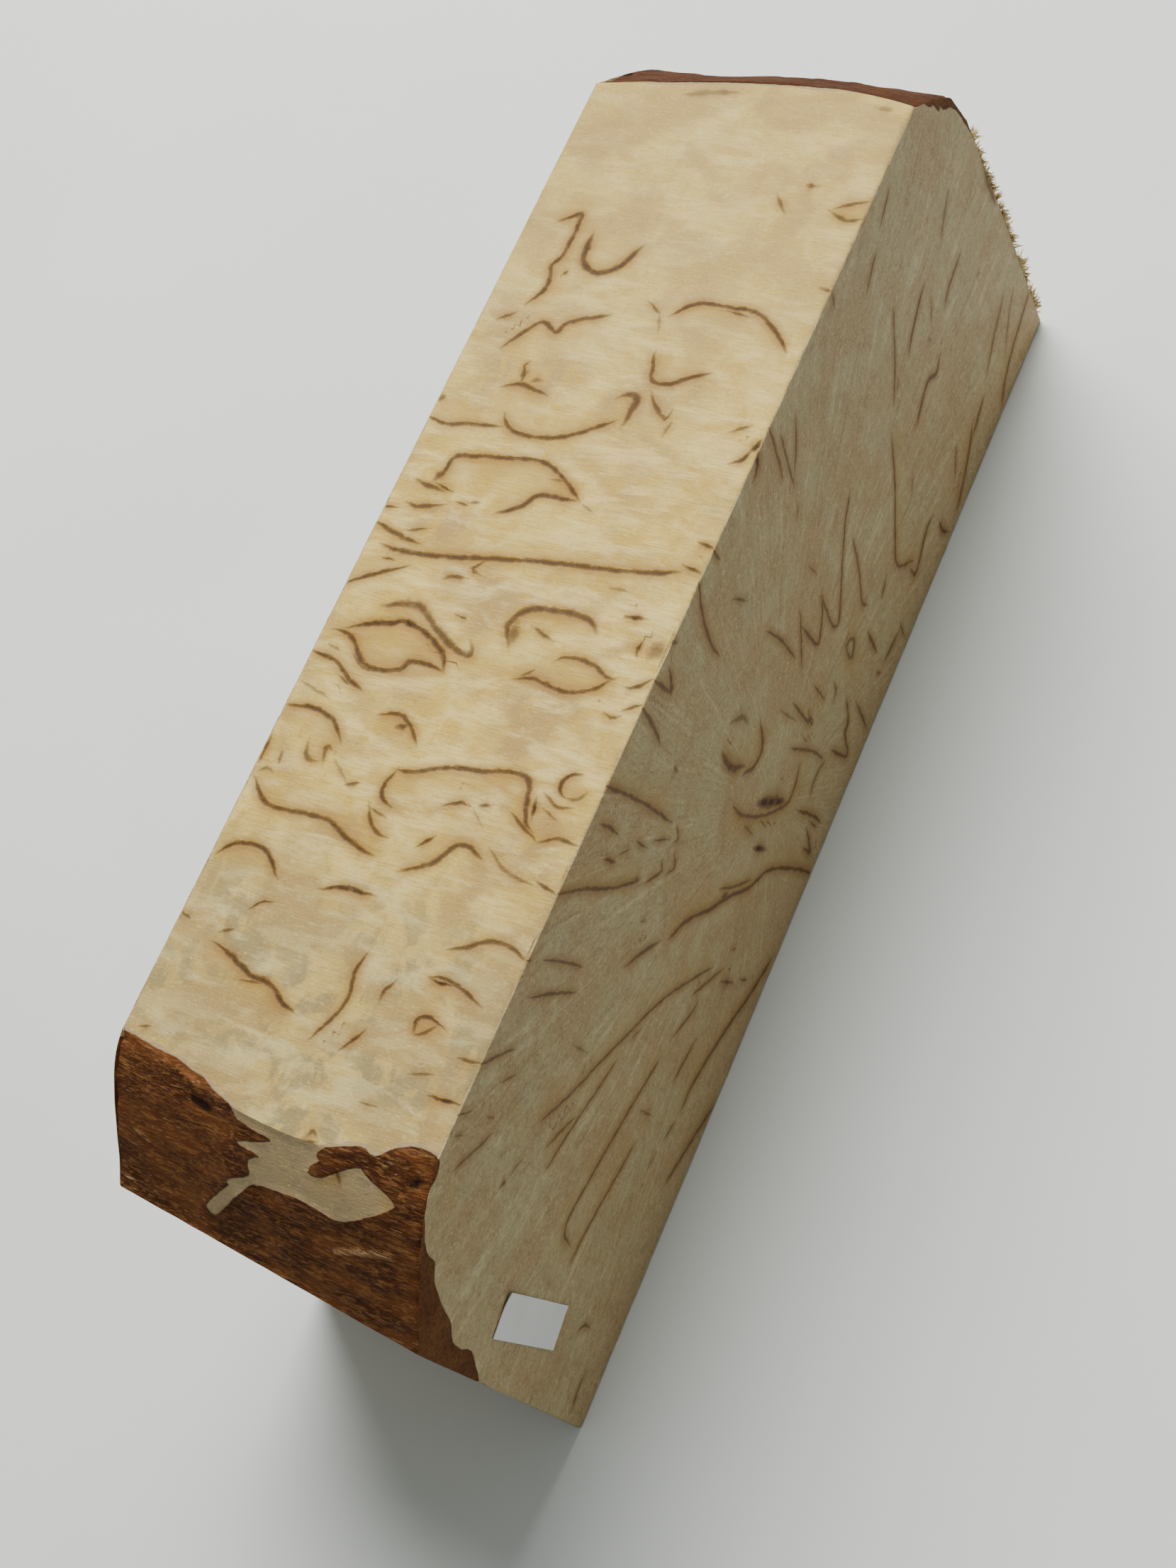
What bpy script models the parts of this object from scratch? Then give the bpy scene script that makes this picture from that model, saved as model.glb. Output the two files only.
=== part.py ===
"""Masur birch block: a rough-sawn piece cut across a small log, with bark left on two corners.

Run with: blender --background --python part.py
World units are metres, +Z up. X runs along the block, the end grain faces -Y, and the origin is
under the middle of the block, on the face that it rests on.
"""

import bpy
import bmesh
import numpy as np
from mathutils import Matrix, Vector

MM = 0.001

# Driving dimensions of the block, in millimetres
LENGTH = 188.4          # greatest length, near wane to far foot
HEIGHT = 72.0           # sawn top to sawn base
WIDTH_NEAR = 44.3       # end-grain face to back face, at the near end
WIDTH_FAR = 46.0        # the same at the far end: the two cuts are not quite parallel
FRONT_Y = -22.7         # where the end-grain face lies
BAYS = 14               # strips between the front and the back face

# Driving dimensions of the paper sticker, in millimetres
STICKER_LONG = 19.0     # runs down the face
STICKER_SHORT = 5.8
STICKER_THICK = 0.3
STICKER_GAP = 0.3       # clear of the wood
STICKER_TURN = -11.0    # degrees about Y: its lower end leans towards the far end
STICKER_X = -82.75      # centre
STICKER_Z = 30.2

NEAR_X = -0.5 * LENGTH
FAR_X = 0.5 * LENGTH
TOP = HEIGHT

# Each section below is one slice through the block at a share of its width, front to back, as
# (x, z) pairs in millimetres. The near end runs from the sawn top's edge over the bark-covered
# wane to the arris of the sawn end, whose foot lies further in.
NEAR_UNDERCUT = 4.8 / 57.0      # how far the sawn end leans in, for each millimetre down
NEAR_SECTIONS = {
    0.0: ((-75.7, TOP), (-78.6, 70.9), (-81.6, 69.3), (-84.6, 66.9), (-87.8, 63.8),
          (-91.2, 60.0), (NEAR_X, 56.3)),
    0.3: ((-78.7, TOP), (-80.9, 70.4), (-83.2, 68.5), (-85.6, 66.0), (-88.0, 63.1),
          (-90.4, 60.0), (-92.6, 56.8)),
    0.6: ((-78.0, TOP), (-80.0, 70.4), (-82.0, 68.6), (-84.3, 66.1), (-86.7, 63.2),
          (-88.9, 60.3), (-91.0, 57.3)),
    1.0: ((-73.7, TOP), (-76.6, 71.0), (-79.3, 68.9), (-81.9, 66.1), (-84.4, 63.1),
          (-86.7, 60.2), (-88.9, 57.9)),
}
# The far end runs from the sawn top's edge over a smaller wane, and on down to the foot.
FAR_SECTIONS = {
    0.0: ((73.0, TOP), (77.2, 68.6), (80.2, 65.8), (82.6, 63.4), (83.6, 61.0),
          (85.5, 55.8), (90.4, 26.0), (FAR_X, 0.0)),
    0.4: ((74.2, TOP), (78.0, 68.6), (80.6, 66.0), (82.8, 63.3), (83.9, 60.6),
          (85.6, 55.8), (90.3, 26.0), (94.1, 0.0)),
    0.8: ((71.9, TOP), (75.6, 68.9), (79.0, 65.7), (82.0, 62.7), (83.8, 60.2),
          (85.6, 56.0), (90.1, 26.0), (93.9, 0.0)),
    1.0: ((70.3, TOP), (74.3, 68.8), (78.4, 65.4), (82.2, 61.9), (84.5, 59.3),
          (85.8, 56.2), (90.0, 26.0), (93.7, 0.0)),
}


def fresh_scene():
    """Remove whatever the scene holds."""
    for obj in list(bpy.data.objects):
        bpy.data.objects.remove(obj, do_unlink=True)


def material(name, colour, roughness):
    """A plain Principled material."""
    made = bpy.data.materials.new(name)
    made.use_nodes = True
    shader = made.node_tree.nodes["Principled BSDF"]
    shader.inputs["Base Color"].default_value = (*colour, 1.0)
    shader.inputs["Roughness"].default_value = roughness
    shader.inputs["Metallic"].default_value = 0.0
    return made


def new_object(name, shape, made_of):
    """Turn a bmesh into an object of one material."""
    bmesh.ops.recalc_face_normals(shape, faces=shape.faces)
    mesh = bpy.data.meshes.new(name)
    shape.to_mesh(mesh)
    shape.free()
    mesh.materials.append(made_of)
    obj = bpy.data.objects.new(name, mesh)
    bpy.context.scene.collection.objects.link(obj)
    return obj


def section_at(sections, share):
    """One end's slice at a share of the width, on the smooth cubic through the given slices."""
    blend = 0.0
    for own, points in sections.items():
        others = [other for other in sections if other != own]
        weight = np.prod([(share - other) / (own - other) for other in others])
        blend = blend + weight * np.array(points)
    return blend


def back_width(x):
    """The block's width at x: it widens evenly from the near end to the far end."""
    return WIDTH_NEAR + (WIDTH_FAR - WIDTH_NEAR) * (x - NEAR_X) / LENGTH


def block():
    """The wood and its bark: slices from front to back, joined into one closed skin."""
    shape = bmesh.new()
    rings = []
    for bay in range(BAYS + 1):
        share = bay / BAYS
        near = section_at(NEAR_SECTIONS, share)
        arris_x, arris_z = near[-1]
        foot = (arris_x + NEAR_UNDERCUT * arris_z, 0.0)
        far = section_at(FAR_SECTIONS, share)
        outline = np.vstack((foot, near[::-1], far))
        ring = [
            shape.verts.new(Vector((x, FRONT_Y + share * back_width(x), z)) * MM)
            for x, z in outline
        ]
        rings.append(ring)
    for front, back in zip(rings, rings[1:]):
        for i in range(len(front)):
            j = (i + 1) % len(front)
            shape.faces.new((front[i], front[j], back[j], back[i]))
    shape.faces.new(rings[0])
    shape.faces.new(rings[-1])
    bmesh.ops.triangulate(shape, faces=shape.faces, quad_method="SHORT_EDGE")
    wood = material("birch_wood", (0.62, 0.49, 0.31), 0.6)
    return new_object("birch_block", shape, wood)


def sticker():
    """The small paper label: a thin sheet, stuck a little askew on the end grain."""
    shape = bmesh.new()
    size = Matrix.Diagonal((STICKER_SHORT, STICKER_THICK, STICKER_LONG, 1.0 / MM)) * MM
    bmesh.ops.create_cube(shape, size=1.0, matrix=size)
    obj = new_object("paper_sticker", shape, material("white_paper", (0.62, 0.63, 0.62), 0.8))
    outward = FRONT_Y - STICKER_GAP - 0.5 * STICKER_THICK
    obj.location = Vector((STICKER_X, outward, STICKER_Z)) * MM
    obj.rotation_euler = (0.0, np.radians(STICKER_TURN), 0.0)
    return obj


fresh_scene()
block()
sticker()
bpy.context.view_layer.update()
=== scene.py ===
"""The looks of a masur birch block: a rough-sawn piece cut across a small log, bark on two corners.

X runs along the block, the end grain faces -Y and +Z is up. The scene is in metres, and the sizes
below are in millimetres, on the block's own frame, unless a comment says otherwise.
"""

import bpy
import numpy as np
from mathutils import Matrix, Vector


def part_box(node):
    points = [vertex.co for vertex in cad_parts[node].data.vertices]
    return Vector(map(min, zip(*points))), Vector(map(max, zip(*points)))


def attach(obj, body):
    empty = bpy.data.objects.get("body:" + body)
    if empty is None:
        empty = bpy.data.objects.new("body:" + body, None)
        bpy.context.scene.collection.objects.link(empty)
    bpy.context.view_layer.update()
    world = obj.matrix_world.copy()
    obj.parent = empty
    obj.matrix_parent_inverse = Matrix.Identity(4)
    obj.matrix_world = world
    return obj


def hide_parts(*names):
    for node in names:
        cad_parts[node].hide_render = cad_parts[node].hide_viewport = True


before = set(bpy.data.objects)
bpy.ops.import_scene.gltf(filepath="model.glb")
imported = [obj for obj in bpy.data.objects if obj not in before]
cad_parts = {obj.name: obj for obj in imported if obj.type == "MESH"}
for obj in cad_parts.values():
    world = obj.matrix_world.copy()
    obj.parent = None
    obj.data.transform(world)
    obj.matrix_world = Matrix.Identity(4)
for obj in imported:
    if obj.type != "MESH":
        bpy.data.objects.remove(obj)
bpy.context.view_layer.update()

# The block is one piece of birch, sawn out of a round log with its long side across the grain, so
# two corners keep the log's own skin: a big wane at the near end and a smaller one at the far end.
# The saw left six faces, and the two arrises of each wane are where its cut ran out of the wood.
MM = 0.001
NEAR_X, FRONT_Y = (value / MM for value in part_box("birch_block")[0][:2])
FAR_X, BACK_Y, TOP = (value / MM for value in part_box("birch_block")[1])
WIDTH_NEAR = 44.3           # front face to back face at the near end
WIDTH_FAR = 46.0            # and at the far end
NEAR_UNDERCUT = 4.8 / 57.0  # how far the sawn near end leans in, for each millimetre down

# Each wane as slices at shares of the width, front to back, from the sawn top down to its arris,
# as (x, z). The far slices run on to the foot of the sawn end.
NEAR_SECTIONS = {
    0.0: ((-75.7, TOP), (-78.6, 70.9), (-81.6, 69.3), (-84.6, 66.9), (-87.8, 63.8),
          (-91.2, 60.0), (NEAR_X, 56.3)),
    0.3: ((-78.7, TOP), (-80.9, 70.4), (-83.2, 68.5), (-85.6, 66.0), (-88.0, 63.1),
          (-90.4, 60.0), (-92.6, 56.8)),
    0.6: ((-78.0, TOP), (-80.0, 70.4), (-82.0, 68.6), (-84.3, 66.1), (-86.7, 63.2),
          (-88.9, 60.3), (-91.0, 57.3)),
    1.0: ((-73.7, TOP), (-76.6, 71.0), (-79.3, 68.9), (-81.9, 66.1), (-84.4, 63.1),
          (-86.7, 60.2), (-88.9, 57.9)),
}
FAR_SECTIONS = {
    0.0: ((73.0, TOP), (77.2, 68.6), (80.2, 65.8), (82.6, 63.4), (83.6, 61.0), (85.5, 55.8)),
    0.4: ((74.2, TOP), (78.0, 68.6), (80.6, 66.0), (82.8, 63.3), (83.9, 60.6), (85.6, 55.8)),
    0.8: ((71.9, TOP), (75.6, 68.9), (79.0, 65.7), (82.0, 62.7), (83.8, 60.2), (85.6, 56.0)),
    1.0: ((70.3, TOP), (74.3, 68.8), (78.4, 65.4), (82.2, 61.9), (84.5, 59.3), (85.8, 56.2)),
}
FAR_FEET = {0.0: ((90.4, 26.0), (FAR_X, 0.0)), 0.4: ((90.3, 26.0), (94.1, 0.0)),
            0.8: ((90.1, 26.0), (93.9, 0.0)), 1.0: ((90.0, 26.0), (93.7, 0.0))}

# How many cells the skin has along the block, through it, down a sawn end and over a wane.
CELLS_ALONG, CELLS_DEEP, CELLS_END, CELLS_WANE = 232, 66, 50, 46
ARRIS_STEP = 0.45               # the short cell beside each arris
END_HIGH, WANE_LONG = 56, 22    # about how high a sawn end is, and how long a wane is
WANE_POINTS = 61                # how many points each slice of a wane is traced with
NOISE_CELLS = 97                # how many cells the noise has before it repeats


def trace(points, count):
    """A smooth line through a few points: the Catmull-Rom curve, which passes each point in the
    direction that joins its two neighbours. The points run along the first axis."""
    p = np.asarray(points, float)
    p = np.concatenate((2 * p[:1] - p[1:2], p, 2 * p[-1:] - p[-2:-1]))
    t = np.linspace(0, len(p) - 3, count)
    i = np.minimum(t.astype(int), len(p) - 4)
    f = (t - i).reshape((-1,) + (1,) * (p.ndim - 1))
    a, b, c, d = p[i], p[i + 1], p[i + 2], p[i + 3]
    return b + 0.5 * f * (c - a + f * (2 * a - 5 * b + 4 * c - d + f * (3 * (b - c) + d - a)))


def slice_at(sections, share):
    """The slice at each share of the width: the cubic in the share that meets every given slice."""
    blend = 0.0
    for own, points in sections.items():
        others = [other for other in sections if other != own]
        weight = np.prod([(share - other) / (own - other) for other in others], axis=0)
        blend = blend + weight[None, :, None] * np.array(points)[:, None, :]
    return blend


def stations(cells, length):
    """Shares from 0 to 1, evenly apart but for one short step at each end, beside the arris."""
    step = ARRIS_STEP / length
    return np.concatenate(([0.0], np.linspace(step, 1 - step, cells - 1), [1.0]))


def even_rows(line, shares):
    """Points at those shares of the length of each line; the line's points run along axis 0."""
    walked = np.linalg.norm(np.diff(line, axis=0), axis=-1)
    walked = np.concatenate((np.zeros((1, line.shape[1])), walked.cumsum(0)))
    rows = [[np.interp(shares * s[-1], s, line[:, n, c]) for c in (0, 1)]
            for n, s in enumerate(walked.T)]
    return np.array(rows).transpose(0, 2, 1)


def noise(a, b, seed):
    """Smooth heights from -1 to 1: a seeded number at each whole (a, b), eased in between."""
    table = np.random.default_rng(seed).uniform(-1, 1, (NOISE_CELLS, NOISE_CELLS))
    i, j = np.floor(a).astype(int), np.floor(b).astype(int)
    u, v = a - i, b - j
    u, v = u * u * (3 - 2 * u), v * v * (3 - 2 * v)
    i, j, next_i, next_j = (n % NOISE_CELLS for n in (i, j, i + 1, j + 1))
    here = table[i, j] * (1 - u) + table[next_i, j] * u
    beyond = table[i, next_j] * (1 - u) + table[next_i, next_j] * u
    return here * (1 - v) + beyond * v


def ease(value, low, high):
    """0 below low, 1 above high, and the smooth step 3t^2 - 2t^3 in between."""
    t = np.clip((value - low) / (high - low), 0, 1)
    return t * t * (3 - 2 * t)


share = stations(CELLS_DEEP, BACK_Y - FRONT_Y)
along = stations(CELLS_ALONG, FAR_X - NEAR_X)
end_shares, wane_shares = stations(CELLS_END, END_HIGH), stations(CELLS_WANE, WANE_LONG)
near_wane = trace(slice_at(NEAR_SECTIONS, share)[::-1], WANE_POINTS)
near_foot = near_wane[0] + np.stack((NEAR_UNDERCUT * near_wane[0, :, 1], -near_wane[0, :, 1]), -1)
far_wane = trace(slice_at(FAR_SECTIONS, share)[::-1], WANE_POINTS)
far_end = np.concatenate((slice_at(FAR_FEET, share)[::-1], far_wane[:1]))
near_rows = np.concatenate((even_rows(np.stack((near_foot, near_wane[0])), end_shares),
                            even_rows(near_wane, wane_shares)[:, 1:]), axis=1)
far_rows = np.concatenate((even_rows(far_end, end_shares),
                           even_rows(far_wane, wane_shares)[:, 1:]), axis=1)

# The block as a box of cells: only its outer points are kept, so the six faces share their arrises.
x, z = np.moveaxis(near_rows + along[:, None, None, None] * (far_rows - near_rows), -1, 0)
width = WIDTH_NEAR + (WIDTH_FAR - WIDTH_NEAR) * (x - NEAR_X) / (FAR_X - NEAR_X)
lattice = np.stack((x, FRONT_Y + share[None, :, None] * width, z), axis=-1)
outer = np.ones(x.shape, bool)
outer[1:-1, 1:-1, 1:-1] = False
number = np.full(x.shape, -1)
number[outer] = np.arange(outer.sum())
skin = lattice[outer]
FACES = {       # the points of each face as a grid
    "front": number[:, 0, :], "back": number[:, -1, :], "top": number[:, :, -1],
    "base": number[:, :, 0], "near": number[0], "far": number[-1],
}
FLIPPED = ("back", "base", "near")      # faces whose cells turn the other way to face out
place = {name: skin[grid] for name, grid in FACES.items()}


def nearest(line, a, b):
    """How far each (a, b) is from a line, positive on the left of its travel, the same distance
    without a sign, and how far along the line its nearest place is, counted on past both ends."""
    start, step = line[:-1], np.diff(line, axis=0)
    length = np.hypot(step[:, 0], step[:, 1])
    ux, uy = (step / length[:, None]).T
    ga, gb = a[..., None] - start[:, 0], b[..., None] - start[:, 1]
    run = ga * ux + gb * uy
    held = np.clip(run, 0, length)
    off = np.hypot(ga - held * ux, gb - held * uy)
    pick = off.argmin(-1)[..., None]
    run, held, off, side = (
        np.take_along_axis(v, pick, -1)[..., 0] for v in (run, held, off, ux * gb - uy * ga)
    )
    pick = pick[..., 0]
    past = ((pick == 0) & (run < 0)) | ((pick == len(length) - 1) & (run > held))
    walked = np.concatenate(([0.0], length.cumsum()))
    return (np.where(past, side, np.sign(side) * off), off,
            walked[pick] + np.where(past, run, held))


def inside(outline, a, b):
    """Distance from each (a, b) to a closed outline, positive inside it and negative outside."""
    loop = np.concatenate((outline, outline[:1]))
    crossed = np.zeros(a.shape, bool)
    for (a0, b0), (a1, b1) in zip(loop, loop[1:]):
        if b0 != b1:
            crossed ^= ((b0 > b) != (b1 > b)) & (a < a0 + (b - b0) / (b1 - b0) * (a1 - a0))
    return np.where(crossed, 1, -1) * nearest(loop, a, b)[1]


# The bark's edge, seen from above: from the back arris, round the tongues of bare wood, and to the
# front arris. On the front and back faces it is the line between wood and cut bark, as (x, z).
BARK_TOP = (
    (-73.5, 24.0), (-74.0, 19.8), (-74.6, 16.1), (-74.8, 13.4), (-75.5, 10.8), (-76.0, 8.6),
    (-77.3, 5.9), (-77.9, 3.9), (-78.9, 3.2), (-79.4, 1.0), (-79.9, -2.0), (-80.5, -0.5),
    (-81.1, 2.8), (-81.5, 1.1), (-81.8, -0.7), (-82.5, 1.0), (-83.9, 0.9), (-84.9, 4.2),
    (-85.3, 3.8), (-86.8, 6.2), (-87.9, 7.7), (-88.5, 6.2), (-87.3, 4.4), (-85.5, 1.8),
    (-84.6, 0.0), (-84.3, -5.6), (-84.8, -9.5), (-85.1, -12.0), (-84.3, -14.6), (-82.9, -17.5),
    (-81.8, -19.0), (-81.0, -17.8), (-80.1, -15.1), (-79.4, -13.9), (-80.5, -11.5),
    (-81.6, -9.6), (-81.8, -7.5), (-80.9, -7.8), (-80.2, -9.1), (-79.7, -8.2), (-78.5, -9.9),
    (-77.3, -13.4), (-77.7, -15.5), (-76.0, -17.7), (-75.2, -20.2), (-75.7, -24.0),
)
BARK_FRONT = (
    (-75.4, 73.0), (-75.9, 71.1), (-77.6, 70.4), (-79.6, 70.8), (-82.1, 68.5), (-84.4, 65.1),
    (-84.8, 61.9), (-86.6, 59.8), (-88.1, 55.4), (-88.9, 51.8), (-90.5, 49.2), (-90.7, 46.0),
    (-90.1, 43.4), (-91.0, 40.6), (-92.0, 38.3), (-93.5, 35.5),
)
BARK_BACK = (
    (-73.4, 73.0), (-76.3, 69.8), (-78.6, 67.6), (-80.9, 63.4), (-83.6, 60.2), (-84.9, 55.6),
    (-86.3, 51.0), (-86.2, 46.4), (-87.2, 42.2), (-89.0, 38.0),
)
BARK_FAR = ((77.0, 25.0), (75.2, 22.6), (71.9, 20.6), (71.7, 15.0), (73.2, 3.5), (74.0, -6.0),
            (74.5, -16.0), (74.2, -25.0))
BARK_FAR_FRONT = (
    (72.6, 73.5), (75.0, 70.6), (76.7, 67.6), (77.6, 67.2), (78.6, 64.6), (79.3, 65.4),
    (79.9, 63.6), (81.8, 62.0), (83.6, 58.6), (84.6, 55.5), (86.5, 50.5), (90.0, 48.0),
)
BARK_FAR_BACK = ((75.6, 73.5), (76.2, 67.4), (79.0, 63.4), (82.0, 60.2), (83.9, 56.4),
                 (85.2, 52.6), (88.0, 50.5))


def bark_beyond(line, open_side, a, b):
    """Distance into the bark that lies between a line and the open side, as inside() gives it."""
    return inside(np.concatenate((trace(line, 8 * len(line)), open_side)), a, b)


NEAR_SIDE = ((-120.0, -24.0), (-120.0, 24.0))
FAR_SIDE = ((120.0, -25.0), (120.0, 25.0))
NEAR_CORNER = ((-120.0, 35.0), (-120.0, 73.0))
FAR_CORNER = ((120.0, 50.0), (120.0, 73.0))
NEAR_CUT_LOW, NEAR_CUT_RISE, NEAR_CUT_WAVE = 37.3, 3.0, 1.6     # cut bark's lower edge, near end
FAR_CUT_LOW, FAR_CUT_WAVE = 52.5, 1.5                           # and at the far end
NO_BARK, DEEP_BARK = -9.0, 3.0      # the distances given far outside the bark and inside cut bark
bark = {"base": np.full(FACES["base"].shape, NO_BARK)}
for name in ("top", "near"):
    face_x, face_y = place[name][..., 0], place[name][..., 1]
    bark[name] = np.maximum(bark_beyond(BARK_TOP, NEAR_SIDE, face_x, face_y),
                            bark_beyond(BARK_FAR, FAR_SIDE, face_x, face_y))
for name, near_edge, far_edge in (("front", BARK_FRONT, BARK_FAR_FRONT),
                                  ("back", BARK_BACK, BARK_FAR_BACK)):
    face_x, face_z = place[name][..., 0], place[name][..., 2]
    bark[name] = np.maximum(bark_beyond(near_edge, NEAR_CORNER, face_x, face_z),
                            bark_beyond(far_edge, FAR_CORNER, face_x, face_z))
face_y, face_z = place["near"][..., 1], place["near"][..., 2]
wavy = NEAR_CUT_WAVE * noise(face_y / 5, face_z / 9, seed=3)
low = NEAR_CUT_LOW + NEAR_CUT_RISE * share[:, None] + wavy
bark["near"][:, :CELLS_END] = np.minimum(DEEP_BARK, face_z - low)[:, :CELLS_END]
face_y, face_z = place["far"][..., 1], place["far"][..., 2]
low = FAR_CUT_LOW + FAR_CUT_WAVE * noise(face_y / 4, face_z / 9, seed=5)
bark["far"] = np.minimum(DEEP_BARK, face_z - low)

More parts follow.
